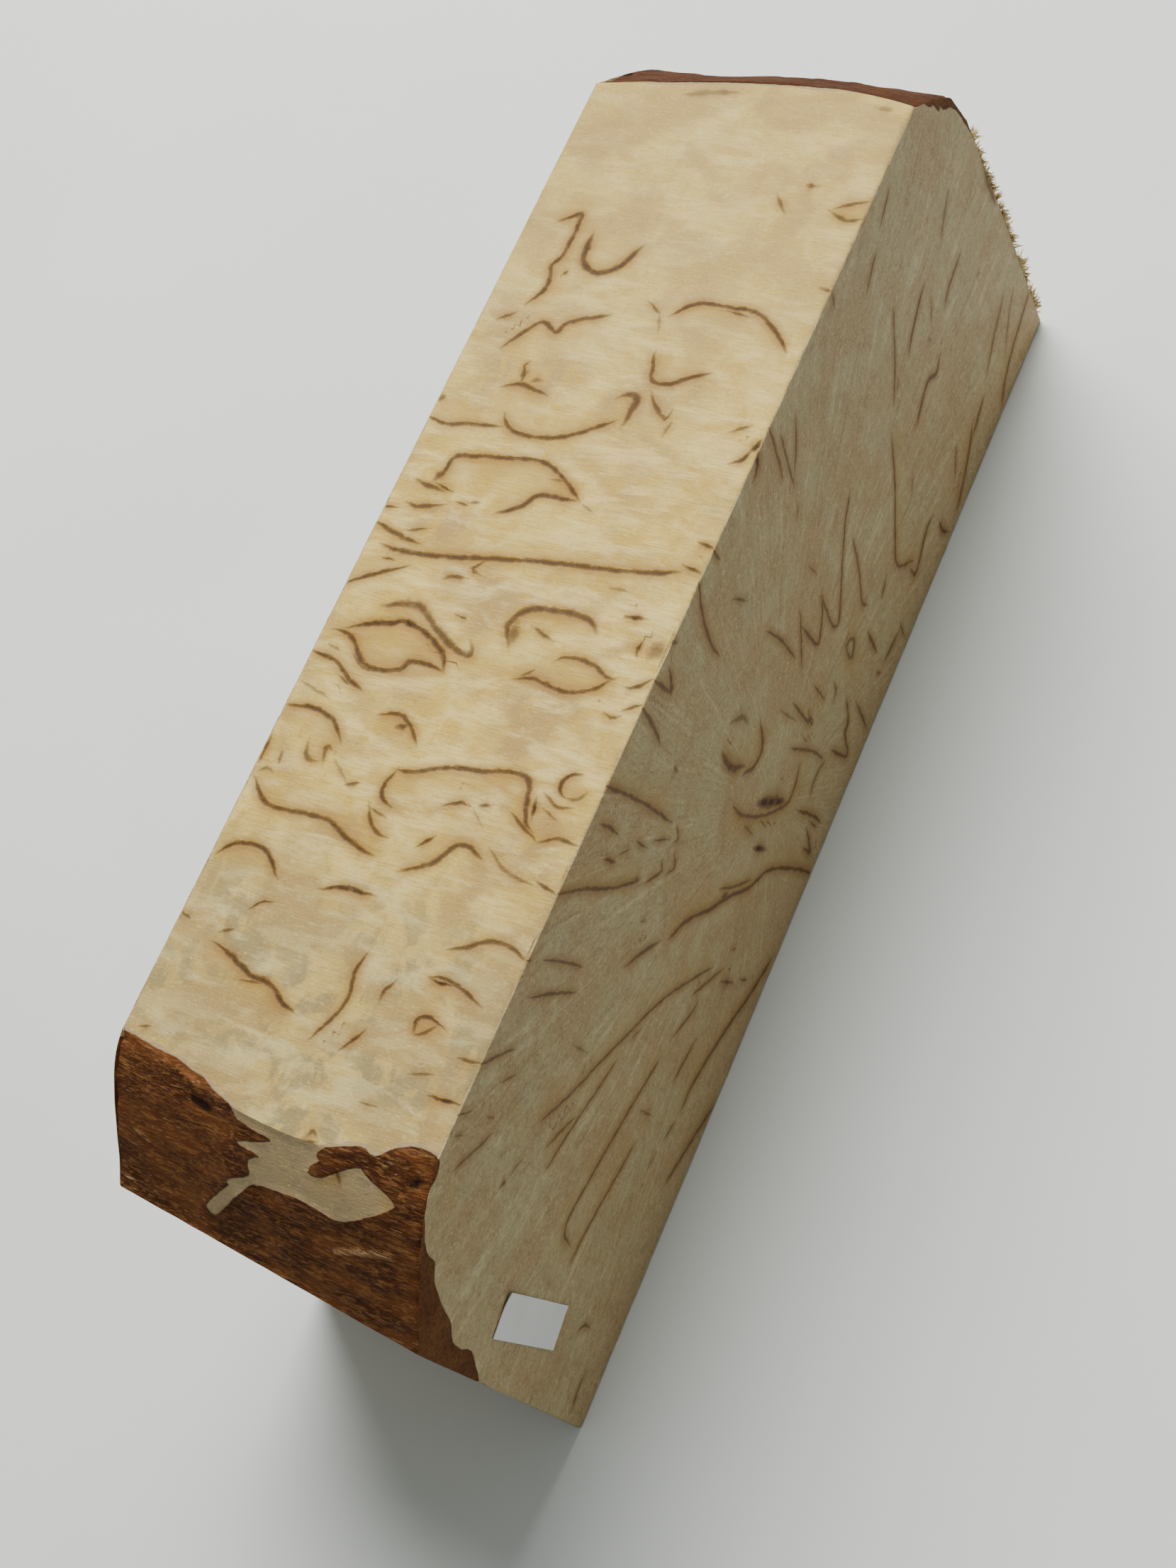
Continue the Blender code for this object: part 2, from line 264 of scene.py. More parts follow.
# The curls of the figure are brown seams in the wood. Each stroke gives how dark it is, its width,
# how strongly the wood beside it is stained, on the left of its travel if above 0 and on the right
# if below, and then the few points that it passes, as (x, y) on the top and (x, z) on the front.
TOP_STROKES = (
    (.60, .50, 0, (-58.3, 21.6), (-58.6, 20.7)),
    (.80, .50, -.5, (-50.2, 21.1), (-48.5, 19.8), (-47.7, 17.0), (-48.2, 14.6), (-50.8, 11.9)),
    (.60, .50, 0, (-59.1, 15.4), (-58.5, 14.2)),
    (.60, .40, 0, (-55.5, 13.4), (-54.2, 12.2), (-53.8, 10.8)),
    (.85, .60, -.9, (-60.6, 15.8), (-61.1, 13.7), (-62.9, 9.2), (-63.2, 6.1), (-64.8, 3.8),
     (-65.5, 1.7)),
    (.40, .40, 0, (-63.9, 10.4), (-63.4, 7.0)),
    (.90, .55, -.5, (-50.6, 5.8), (-49.5, 3.0), (-49.5, -1.1)),
    (.70, .40, .2, (-67.9, -1.6), (-63.9, -3.5), (-61.2, -3.8), (-58.8, -3.2), (-56.0, -3.7)),
    (.80, .50, 0, (-67.9, -5.7), (-66.7, -6.6), (-64.8, -7.7)),
    (.60, .45, 0, (-61.2, -7.7), (-59.8, -7.8), (-58.2, -8.6)),
    (.80, .50, -.6, (-63.5, -13.4), (-61.8, -13.1), (-61.1, -14.5), (-61.9, -16.8)),
    (.50, .50, .6, (-63.5, -13.4), (-63.2, -14.4), (-61.9, -15.7)),
    (.70, .45, -.4, (-56.7, -12.2), (-56.3, -13.6), (-56.8, -16.6), (-58.1, -19.6)),
    (.95, .50, -.5, (-56.7, -12.4), (-56.9, -13.9), (-56.8, -15.4)),
    (.60, .50, -.2, (-53.0, -12.8), (-52.0, -15.1), (-50.6, -17.2), (-50.5, -20.0),
     (-51.5, -22.6)),
    (.95, .50, -.3, (-69.5, -18.4), (-69.4, -22.6)),
    (.60, .45, 0, (-64.5, -19.9), (-64.3, -22.6)),
    (.30, .45, 0, (-67.9, -15.1), (-67.1, -17.8)),
    (.30, .40, 0, (-72.7, -11.2), (-72.6, -12.8)),
    (.50, .50, 0, (-72.7, 19.3), (-72.5, 18.7)),
    (.80, .55, 0, (-79.0, -6.3), (-79.0, -7.2), (-78.6, -8.0)),
    (.50, .50, 0, (-78.0, -6.9), (-77.4, -7.2), (-77.8, -7.7)),
    (.75, .55, .5, (-39.5, 21.1), (-41.9, 18.7), (-42.5, 16.1), (-42.1, 9.5), (-43.5, 6.1),
     (-44.5, 3.1), (-44.8, 1.3)),
    (.30, .45, 0, (-38.6, 21.0), (-37.8, 20.1), (-38.2, 19.3)),
    (.70, .60, 0, (-37.8, 21.7), (-35.7, 21.7), (-33.5, 21.9)),
    (.50, .45, 0, (-36.8, 19.0), (-35.6, 19.2)),
    (.50, .80, .3, (-33.2, 16.6), (-34.9, 16.1), (-35.5, 15.0), (-35.3, 13.9)),
    (.65, .80, .3, (-35.3, 13.4), (-33.9, 13.8), (-33.1, 13.6), (-33.5, 12.8)),
    (.80, .55, -.6, (-29.4, 21.9), (-28.8, 18.2), (-29.8, 14.6), (-32.2, 12.3)),
    (.80, .60, .3, (-21.5, 22.2), (-22.0, 18.5), (-23.9, 15.5), (-25.1, 12.9)),
    (.50, .40, 0, (-23.9, 16.8), (-24.6, 15.0)),
    (.20, .50, 0, (-25.7, 21.9), (-27.1, 16.7)),
    (.80, .60, .9, (-18.0, 20.7), (-18.3, 17.9), (-20.3, 16.0), (-21.6, 14.3), (-21.8, 11.9),
     (-21.0, 9.3), (-19.8, 8.8), (-19.5, 6.4), (-20.0, 3.8)),
    (.50, .35, .4, (-20.6, 16.4), (-22.0, 14.4), (-22.1, 12.2)),
    (.90, .60, -.9, (-17.4, 19.0), (-16.0, 16.1), (-15.4, 13.6), (-14.7, 11.9), (-15.1, 9.5),
     (-16.6, 6.4), (-18.0, 4.6), (-19.9, 3.8)),
    (1.0, .90, 0, (-15.0, 12.8), (-14.7, 11.5), (-15.2, 9.8)),
    (.65, .80, -.6, (-13.4, 15.8), (-12.6, 13.7), (-12.2, 10.9), (-14.1, 8.1), (-16.2, 4.6),
     (-17.1, 1.7), (-16.2, 1.4), (-15.4, 2.0)),
    (.55, 1.5, 0, (-12.8, 13.9), (-12.3, 12.3), (-12.5, 10.8)),
    (.70, .60, 0, (-37.2, 9.0), (-36.6, 7.5)),
    (.22, .60, 0, (-34.7, 11.9), (-36.8, 9.2)),
    (.80, .50, -.4, (-27.5, 9.3), (-26.8, 6.6), (-28.0, 4.3), (-30.0, 2.6)),
    (.80, 1.0, 0, (-28.4, 6.0), (-28.0, 5.0)),
    (.70, .50, .3, (-38.9, 4.9), (-40.7, 3.8), (-42.0, 2.2), (-42.2, .8)),
    (.45, .45, 0, (-39.2, 4.6), (-39.8, 2.3)),
    (.80, .50, -.4, (-38.4, 2.0), (-37.6, 3.7), (-35.9, 4.2), (-33.6, 3.5)),
    (.75, .55, -.6, (-33.6, 3.9), (-33.5, 1.6), (-31.6, -3.0), (-31.0, -7.2), (-30.1, -10.8),
     (-30.6, -13.2), (-33.8, -14.3), (-35.6, -15.1), (-36.6, -16.3)),
    (.70, .60, .6, (-45.7, -2.7), (-43.6, -6.3), (-40.9, -8.0), (-40.4, -9.6), (-41.5, -11.9)),
    (.80, .50, 0, (-42.2, -3.4), (-40.4, -5.1)),
    (.90, .60, -.5, (-36.5, -4.3), (-35.5, -6.0), (-35.6, -7.5)),
    (.20, .40, 0, (-36.0, -8.3), (-37.4, -9.9)),
    (.75, .50, 0, (-35.1, -9.1), (-34.9, -9.8)),
    (.60, .45, .4, (-35.0, -12.8), (-36.3, -15.1), (-37.5, -17.2)),
    (1.0, .50, 0, (-34.7, -15.5), (-32.8, -15.1)),
    (.60, .50, .4, (-37.7, -17.6), (-36.6, -19.6), (-36.7, -22.6)),
    (.50, .45, 0, (-31.6, -15.7), (-32.8, -18.0), (-32.5, -19.8)),
    (.30, .35, 0, (-33.6, -16.6), (-34.4, -18.6)),
    (.85, .50, -.6, (-31.6, -18.6), (-31.0, -17.7), (-30.0, -17.1), (-28.5, -18.0), (-28.2, -19.3)),
    (.35, .60, .4, (-31.5, -18.3), (-31.4, -19.9), (-30.1, -20.8)),
    (.30, .50, -.3, (-40.0, -12.4), (-42.1, -15.4), (-42.8, -19.6)),
    (.70, .50, 0, (-42.1, -19.6), (-43.1, -22.6)),
    (.70, .50, .5, (-18.6, -5.5), (-17.9, -8.0), (-18.6, -12.0), (-17.7, -15.4), (-15.7, -17.5)),
    (.40, .45, 0, (-18.0, -6.3), (-16.9, -7.5)),
    (.70, .50, -.5, (-15.1, -9.6), (-14.3, -10.6), (-14.2, -14.2), (-15.6, -16.9), (-15.3, -18.0)),
    (.50, .45, 0, (-20.1, -18.6), (-20.4, -19.6), (-19.8, -20.5)),
    (.60, .45, 0, (-19.1, -20.5), (-17.8, -22.6)),
    (.80, .60, 0, (-16.1, -19.5), (-16.0, -20.5), (-14.2, -22.6)),
    (.30, .45, 0, (-20.3, 19.8), (-20.5, 19.0)),
    (.80, .50, .3, (-11.6, 22.5), (-9.9, 19.8), (-7.2, 15.0)),
    (.60, .40, 0, (-6.9, 19.0), (-6.9, 17.3)),
    (.70, .55, 0, (-2.1, 22.8), (-3.4, 18.2), (-3.9, 14.8)),
    (.50, .45, 0, (-2.5, 17.8), (-1.6, 14.9)),
    (.75, .60, .3, (-5.1, 20.1), (-5.5, 17.0), (-4.9, 11.0), (-3.6, 4.0), (-2.4, -3.3),
     (-1.6, -10.8), (-.8, -16.3), (.2, -19.8)),
    (.60, .60, -.3, (-7.9, 9.6), (-7.2, 8.5), (-7.1, 6.7)),
    (.50, .45, .3, (-4.0, 5.2), (-5.8, 6.4), (-6.3, 4.8)),
    (.70, .40, 0, (.2, 22.7), (.4, 20.4)),
    (.70, .60, 0, (1.4, 19.6), (1.2, 17.6), (2.2, 14.3)),
    (.70, .75, 0, (4.8, 19.8), (4.4, 17.9), (4.0, 15.2)),
    (.70, .35, 0, (4.9, 16.7), (4.2, 14.0)),
    (.60, .45, 0, (2.9, 12.5), (2.8, 11.4)),
    (.40, .45, 0, (3.2, 11.0), (3.5, 9.8)),
    (.85, .55, -.7, (5.2, 17.5), (6.4, 16.6), (9.2, 16.1), (9.8, 13.6), (10.6, 8.8), (11.0, 4.0),
     (9.2, .1), (6.7, -3.0)),
    (.80, 1.2, 0, (5.5, 17.1), (6.7, 16.6)),
    (.80, .60, .6, (2.5, 7.0), (4.2, 4.2), (6.3, 2.3), (6.5, -1.2), (6.6, -2.8)),
    (.25, .45, 0, (6.3, -3.9), (5.5, -5.4)),
    (.30, .45, 0, (8.8, 1.9), (9.0, .1)),
    (.70, .50, .3, (14.3, 22.8), (13.6, 19.8), (14.2, 16.7), (14.8, 11.9)),
    (.75, .55, .5, (16.7, 12.3), (14.8, 10.8), (14.2, 7.0), (15.4, 2.4), (18.9, -3.0)),
    (.70, .35, 0, (-12.2, 5.4), (-12.4, 4.4)),
    (.70, .75, -.7, (-14.8, -3.0), (-11.8, -1.6), (-9.2, -3.4), (-8.5, -7.5), (-8.7, -11.5),
     (-10.2, -13.0)),
    (.75, .70, 0, (-11.5, -5.1), (-12.5, -7.8)),
    (.45, 1.6, 0, (-14.0, -3.0), (-11.6, -2.6)),
    (.95, .70, 0, (-7.2, -15.7), (-6.9, -18.1)),
    (.90, .50, -.4, (-11.8, -19.2), (-10.8, -18.9), (-9.8, -19.2)),
    (.35, 2.2, 0, (-11.8, -20.6), (-9.4, -22.0)),
    (.70, .45, -.4, (1.1, -19.9), (.5, -22.6)),
    (.80, .50, -.5, (4.6, -20.6), (4.2, -22.6)),
    (.20, .50, 0, (-4.0, -12.1), (-3.9, -14.5)),
    (.90, .60, 0, (16.1, -19.8), (16.8, -21.0), (18.6, -21.9)),
    (1.0, .90, 0, (18.2, -21.8), (19.9, -22.5)),
    (.70, .60, -.4, (20.5, 14.6), (21.4, 11.9), (20.5, 7.8)),
    (.70, .50, -.4, (21.5, 12.3), (23.0, 12.3), (24.2, 12.9), (25.1, 12.3)),
    (.80, .80, 0, (22.8, 12.5), (23.2, 12.2)),
    (.50, 1.0, 0, (22.3, 10.5), (22.5, 9.8)),
    (.75, .55, -.5, (26.2, 17.3), (29.0, 15.4), (31.2, 13.3), (29.9, 10.8), (31.8, 9.8),
     (34.0, 4.6)),
    (.60, .70, 0, (30.4, 19.8), (31.8, 17.8)),
    (.80, .55, -.5, (33.3, 16.9), (36.0, 15.4), (38.4, 15.5), (40.0, 16.1), (41.8, 15.2),
     (47.5, 15.2), (48.6, 15.7), (46.8, 18.2)),
    (.70, .35, 0, (38.9, 13.8), (39.4, 13.5)),
    (.85, .75, .6, (46.0, 12.5), (43.4, 12.4), (41.0, 11.7), (39.9, 9.2), (41.5, 6.6),
     (45.2, 4.8)),
    (.90, 1.1, 0, (43.0, 12.3), (44.2, 12.5)),
    (.50, .45, 0, (36.9, .2), (35.4, -1.8)),
    (.20, .50, 0, (32.7, -2.8), (35.4, -1.9)),
    (.80, .50, -.5, (35.4, -3.4), (37.9, -6.3), (38.1, -11.0), (38.1, -14.4), (35.7, -18.1),
     (33.0, -20.5)),
    (.50, .40, 0, (37.6, -10.8), (37.2, -13.6)),
    (.70, .80, .4, (18.3, -4.0), (20.5, -4.2), (22.6, -4.3), (23.0, -3.0), (22.1, -1.5)),
    (.70, 1.2, 0, (21.0, -4.4), (22.2, -4.1)),
    (.75, .50, .5, (29.6, -3.7), (27.2, -4.4), (25.6, -4.9), (25.3, -7.2), (26.6, -9.3),
     (28.1, -12.2)),
    (.60, .55, 0, (23.7, -5.8), (22.0, -7.1), (20.4, -9.0), (21.8, -9.4)),
    (.35, .60, 0, (18.1, -9.8), (20.2, -10.1)),
    (.45, .50, 0, (20.4, -18.1), (21.8, -20.4)),
    (.50, 1.0, 0, (17.0, 22.2), (17.4, 21.8)),
    (.50, .50, 0, (43.1, -21.5), (43.0, -22.6)),
    (.60, .60, -.4, (53.8, -11.8), (55.9, -10.2)),
    (.80, 1.1, -.5, (58.3, -13.7), (58.3, -14.4)),
    (.60, .60, .6, (54.9, -18.0), (53.8, -20.4), (54.4, -22.6)),
    (.55, .60, -.6, (55.3, -18.2), (56.5, -20.5), (57.2, -22.6)),
    (.25, 1.3, 0, (72.0, -18.1), (71.9, -19.9)),
    (.20, .90, 0, (70.1, 9.5), (71.3, 4.3), (71.6, 1.9)),
)

END_STROKES = (
    (.60, .50, 0, (-70.7, 72.3), (-68.9, 69.3)),
    (.40, .45, 0, (-72.4, 70.6), (-71.7, 68.6)),
    (.60, .45, 0, (-64.8, 72.5), (-61.2, 67.8), (-59.8, 65.4)),
    (.45, .45, 0, (-75.5, 67.4), (-69.0, 62.0)),
    (.35, .45, 0, (-68.1, 65.1), (-67.6, 63.2)),
    (.40, .45, 0, (-64.0, 65.6), (-61.7, 62.5)),
    (.80, 1.2, 0, (-72.7, 54.2), (-72.1, 53.6)),
    (.35, .60, 0, (-71.6, 53.3), (-68.1, 51.6)),
    (.60, .45, .2, (-63.8, 51.6), (-58.8, 47.0), (-49.3, 40.0), (-39.8, 32.5), (-35.0, 27.3),
     (-29.8, 20.9)),
    (.60, .45, 0, (-65.7, 47.0), (-61.7, 44.2), (-59.8, 42.5)),
    (.50, .50, .2, (-67.9, 44.4), (-63.3, 43.0), (-56.0, 40.1), (-50.2, 37.8)),
    (.60, .60, .2, (-72.1, 28.2), (-71.5, 31.4), (-68.8, 32.0), (-59.8, 29.7), (-50.0, 26.8),
     (-45.0, 25.1)),
    (.50, .50, 0, (-41.7, 24.2), (-36.7, 21.3), (-34.5, 20.9)),
    (.60, .55, .2, (-74.0, 26.1), (-66.4, 24.7), (-61.2, 23.2), (-55.5, 21.7)),
    (.50, .70, 0, (-79.8, 14.7), (-78.4, 13.2), (-78.3, 10.9)),
    (.40, 1.0, 0, (-88.3, 5.9), (-85.5, 6.6), (-83.1, 6.6)),
    (.35, .60, 0, (-56.9, 14.2), (-54.3, 13.7)),
    (.50, .80, .3, (-56.4, 6.3), (-47.9, 3.0), (-42.1, .3)),
    (.60, .45, 0, (-51.7, 72.5), (-51.0, 71.0)),
    (.60, .45, 0, (-49.8, 68.7), (-47.6, 63.0), (-46.0, 58.0)),
    (.60, .45, 0, (-54.3, 67.8), (-51.0, 61.6), (-49.0, 57.0)),
    (.75, .55, .3, (-43.1, 72.3), (-39.3, 65.9), (-36.0, 59.2), (-32.1, 53.2)),
    (.70, 1.4, 0, (-32.8, 54.6), (-32.1, 53.5)),
    (.65, .60, 0, (-31.7, 51.6), (-28.6, 48.6), (-27.6, 49.7)),
    (.65, .60, 0, (-32.6, 69.9), (-31.7, 67.3), (-31.0, 63.7)),
    (.85, .70, 0, (-34.8, 64.9), (-33.6, 61.3)),
    (.50, .50, 0, (-32.6, 61.6), (-30.7, 59.2)),
    (.75, .60, 0, (-29.3, 58.7), (-28.6, 55.4)),
    (.70, .60, .2, (-29.0, 72.8), (-26.0, 63.5), (-24.3, 56.8), (-23.2, 51.6)),
    (.65, .55, 0, (-26.9, 54.2), (-25.0, 50.4)),
    (.60, .70, 0, (-24.5, 48.7), (-23.4, 47.7), (-22.6, 49.9)),
    (.60, .60, 0, (-28.3, 47.0), (-26.4, 45.3), (-25.2, 47.0)),
    (.65, .70, 0, (-41.2, 47.0), (-37.4, 43.5), (-34.5, 40.1)),
    (.80, .70, .3, (-33.3, 38.0), (-29.0, 34.7), (-25.2, 29.7), (-21.0, 25.1), (-17.4, 20.1),
     (-12.6, 15.9), (-8.8, 8.7), (-5.5, .5)),
    (.90, 1.2, 0, (-22.2, 27.3), (-21.3, 26.2)),
    (.50, .50, 0, (-21.7, 29.2), (-19.8, 25.4), (-16.0, 20.1)),
    (.50, .50, 0, (-46.7, 36.3), (-44.8, 34.9)),
    (.25, .60, 0, (-53.6, 51.6), (-52.9, 47.3)),
    (.35, .50, 0, (-52.1, 24.4), (-51.2, 20.1)),
    (.50, .55, 0, (-35.2, 23.7), (-31.2, 19.9), (-28.3, 17.0)),
    (.50, .70, 0, (-45.5, 17.8), (-42.0, 17.0), (-38.6, 16.3)),
    (.70, .80, 0, (-29.8, 16.1), (-28.1, 11.8)),
    (.60, .60, 0, (-26.7, 9.7), (-25.9, 7.5)),
    (.45, .60, 0, (-52.1, 12.8), (-48.8, 11.6)),
    (.60, .90, .3, (-47.1, 11.1), (-43.1, 11.1), (-33.1, 7.3), (-26.4, 4.0), (-19.8, 1.6)),
    (.60, .80, 0, (-18.3, 72.6), (-18.0, 69.0), (-18.4, 63.5)),
    (.50, 1.3, 0, (-18.3, 57.5), (-18.3, 56.0)),
    (.40, .90, 0, (-35.2, 47.8), (-34.8, 47.1)),
    (.50, .90, 0, (-25.1, 16.6), (-24.8, 15.9)),
    (.70, .80, 0, (-14.5, 72.5), (-12.9, 66.8), (-11.2, 70.1)),
    (.70, 1.0, 0, (-9.3, 72.8), (-8.3, 70.6)),
    (.70, .60, 0, (-.2, 72.8), (-2.4, 67.8), (-3.3, 62.0), (-2.9, 58.2)),
    (.70, .60, 0, (3.8, 72.8), (4.3, 69.2)),
    (1.0, 1.2, 0, (15.5, 70.1), (17.2, 70.3), (18.8, 72.6)),
    (.60, .55, 0, (3.3, 61.8), (4.5, 59.9), (5.7, 57.5)),
    (.65, .50, 0, (6.7, 48.5), (8.6, 43.0), (9.7, 36.3)),
    (.60, .60, 0, (10.0, 33.0), (13.6, 39.7), (14.1, 41.3)),
    (.65, .60, 0, (13.3, 38.7), (14.5, 32.5), (15.4, 31.2), (18.3, 34.0), (19.4, 36.6)),
    (.60, .60, 0, (19.4, 36.6), (19.3, 29.4), (20.5, 27.5), (22.4, 29.4), (25.0, 33.0),
     (29.8, 39.2), (32.9, 41.8)),
    (.80, 1.0, 0, (19.2, 37.0), (19.6, 36.2)),
    (.80, .90, 0, (31.5, 40.4), (32.3, 41.0)),
    (.35, .50, 0, (19.3, 44.4), (20.2, 41.1)),
    (1.0, 2.0, 0, (-8.6, 28.7), (-6.4, 24.8), (-3.8, 20.1)),
    (.60, .60, -.3, (-12.7, 35.9), (-12.1, 32.0), (-8.8, 25.4), (-3.8, 19.2), (-.6, 19.0),
     (2.1, 20.4)),
    (1.0, 1.4, 0, (-13.1, 24.0), (-11.2, 19.7)),
    (.40, .60, 0, (-12.6, 30.1), (-12.1, 25.9)),
    (.90, 1.4, .3, (-10.2, 46.3), (-9.8, 41.1), (-7.6, 37.8)),
    (.60, .90, .5, (-8.8, 37.3), (-6.0, 34.7), (-3.1, 34.9), (-1.4, 38.7)),
    (.40, 1.2, 0, (-6.4, 47.3), (-4.0, 44.4), (-3.6, 42.0)),
    (.60, .55, 0, (5.7, 31.1), (7.1, 22.6), (7.9, 25.4)),
    (.50, .60, 0, (1.4, 25.9), (5.0, 18.7), (6.7, 13.0)),
    (.25, .50, 0, (2.9, 34.0), (4.8, 27.8)),
    (.45, .55, 0, (11.0, 26.8), (11.9, 21.1)),
    (.45, .90, 0, (13.1, 18.0), (14.8, 18.7), (15.0, 20.6)),
    (.50, .80, -.4, (20.2, 23.0), (20.4, 18.0), (22.6, 20.1), (20.2, 22.5)),
    (.70, .60, 0, (-2.4, 14.4), (-.2, 8.7), (.7, 4.4)),
    (.60, .45, 0, (-1.2, 8.7), (-.5, 5.4)),
    (.60, .80, 0, (-4.8, 7.3), (-3.8, 3.9), (-2.4, 8.7)),
    (.65, .60, 0, (8.8, 12.0), (11.6, 4.9), (13.1, 9.7), (14.5, 9.4), (16.4, 14.4)),
    (.55, .60, 0, (17.9, 9.9), (17.9, 2.0)),
    (.80, .90, 0, (26.0, 16.3), (26.2, 10.1)),
    (.60, 1.0, 0, (24.7, 6.7), (25.1, 5.9)),
    (.50, .60, 0, (22.1, 72.5), (21.4, 65.9), (20.7, 62.0)),
    (.45, .60, 0, (23.6, 68.7), (22.4, 58.2)),
    (.60, .60, 0, (27.9, 66.8), (26.0, 63.5), (23.6, 60.1)),
    (.40, .50, 0, (21.9, 55.6), (20.5, 53.5)),
    (.35, .80, 0, (.7, 12.0), (3.8, 13.2), (7.1, 12.0)),
    (.50, .70, 0, (30.2, 34.9), (29.0, 28.2), (27.1, 22.6), (28.4, 20.0)),
    (.62, .65, .2, (46.0, 36.3), (42.9, 27.8), (39.8, 21.6), (37.7, 15.8), (41.9, 10.6)),
    (.65, .90, 0, (40.5, 10.6), (41.4, 7.8), (46.9, 10.4), (49.8, 10.6)),
    (.55, .60, 0, (55.5, 53.5), (51.7, 44.9), (48.6, 39.7)),
    (.45, .50, 0, (51.7, 42.0), (50.2, 40.6)),
    (.75, .80, 0, (55.5, 41.8), (57.6, 43.7), (64.0, 47.0)),
    (.80, .90, 0, (52.1, 29.4), (58.0, 32.2), (61.0, 30.6), (63.1, 32.0)),
    (.35, .60, 0, (47.9, 23.5), (46.4, 21.6)),
    (.60, .70, 0, (50.0, 62.3), (55.5, 65.0)),
    (.50, .60, 0, (57.4, 66.6), (62.6, 69.2)),
    (.85, .80, 0, (53.6, 72.5), (56.4, 72.3)),
    (.40, 1.1, 0, (42.6, 69.2), (43.1, 71.6)),
    (.60, .80, 0, (31.2, 16.3), (34.5, 18.0)),
    (.45, 1.1, 0, (26.9, 5.9), (32.9, 5.1)),
    (.55, .60, 0, (33.8, 5.9), (33.6, 2.0)),
    (.80, .90, 0, (51.0, 7.3), (51.2, 4.4), (52.6, 2.0)),
    (.45, .70, 0, (58.3, 8.0), (61.2, 13.0)),
    (.55, 1.1, .3, (56.4, 2.0), (62.6, 5.9), (67.0, 10.1)),
    (.40, 1.0, 0, (61.5, 37.8), (61.9, 37.2)),
    (.35, .60, 0, (65.0, 43.0), (63.1, 38.7)),
    (.60, .80, 0, (67.4, 37.0), (70.2, 38.7), (75.5, 39.7)),
    (.55, .80, .2, (74.0, 12.5), (79.8, 16.3), (84.5, 18.7)),
    (.40, .60, 0, (81.2, 9.2), (84.5, 13.5), (87.9, 16.3)),
    (.60, .80, .2, (76.0, 1.6), (81.2, 5.9), (92.4, 9.7)),
    (.55, 1.1, 0, (65.5, 7.8), (72.1, 10.1)),
    (.30, .70, 0, (78.4, 30.9), (79.2, 30.3)),
    (.25, 1.4, 0, (71.2, 47.8), (76.0, 52.0)),
    (.60, 1.0, 0, (87.8, 48.0), (87.0, 42.0), (87.9, 35.0)),
    (.60, 1.2, 0, (91.2, 23.0), (91.8, 18.0)),
)
CHANNELS = 5
CLEAR = 3.2         # how far apart two strokes of one channel stay, where they can
NEARBY = 5.0        # how far round a stroke its marks reach
FAR_OFF = 9.0       # the distance given where no stroke is near
FADE = 1.6          # the length over which a stroke fades out at each end, if it is long enough
HALO, SIDE_STAIN = 0.42, 1.2            # how strong the stain is all round, and on its own side
STAIN_WIDE, STAIN_NARROW = 2.3, 0.9     # how far it reaches on its own side, and on the other


def draw(strokes, a, b):
    """What a face carries at each of its points: in every channel the signed distance to the
    nearest stroke, how dark that stroke is there and its half width, and over all of them the
    brown stain. It falls away from its stroke as exp(-(d / r)^2), where the reach r is longer on
    the stained side."""
    lines = [trace(points, 5 * len(points) - 4) for dark, wide, stain, *points in strokes]
    drawn = [[] for n in range(CHANNELS)]
    gap = np.full((CHANNELS, *a.shape), np.inf)
    channel = np.zeros((CHANNELS, *a.shape, 3))
    channel[..., 0] = FAR_OFF
    brown = np.zeros(a.shape)
    for (dark, wide, stain, *points), line in zip(strokes, lines):
        apart = [min([np.hypot(*(line[:, None] - other).transpose(2, 0, 1)).min()
                      for other in placed], default=1e3) for placed in drawn]
        free = [n for n in range(CHANNELS) if apart[n] > CLEAR]
        own = free[0] if free else int(np.argmax(apart))
        drawn[own].append(line)
        (a0, b0), (a1, b1) = line.min(0) - NEARBY, line.max(0) + NEARBY
        close = (a > a0) & (a < a1) & (b > b0) & (b < b1)
        if not close.any():
            continue
        signed, off, run = nearest(line, a[close], b[close])
        total = np.hypot(*np.diff(line, axis=0).T).sum()
        left = np.minimum(run, total - run)
        fade = min(FADE, 0.4 * total)
        half = 0.5 * wide * (0.45 + 0.55 * ease(left, -0.2, 2.0 * fade))
        strength = dark * ease(left, -0.25, fade) * (1 - ease(off - 2 * half, 0.6, 1.1))
        nearer = off < gap[own][close]
        spot = tuple(index[nearer] for index in np.nonzero(close))
        gap[own][spot] = off[nearer]
        channel[own][spot] = np.stack((signed, strength, half), -1)[nearer]
        shaded = signed * np.sign(stain) > 0
        stained = HALO * dark + SIDE_STAIN * abs(stain) * shaded
        reach = np.where(shaded, STAIN_WIDE, STAIN_NARROW)
        brown[close] += stained * np.exp(-(off / reach) ** 2) * ease(left, -1.2, 1.5)
    return channel, 1 - np.exp(-brown)


def turned(strokes, across, up):
    """The same strokes somewhere else: each point (a, b) goes to (across(a, b), up(a, b))."""
    return [(dark, wide, stain, *((across(a, b), up(a, b)) for a, b in points))
            for dark, wide, stain, *points in strokes]


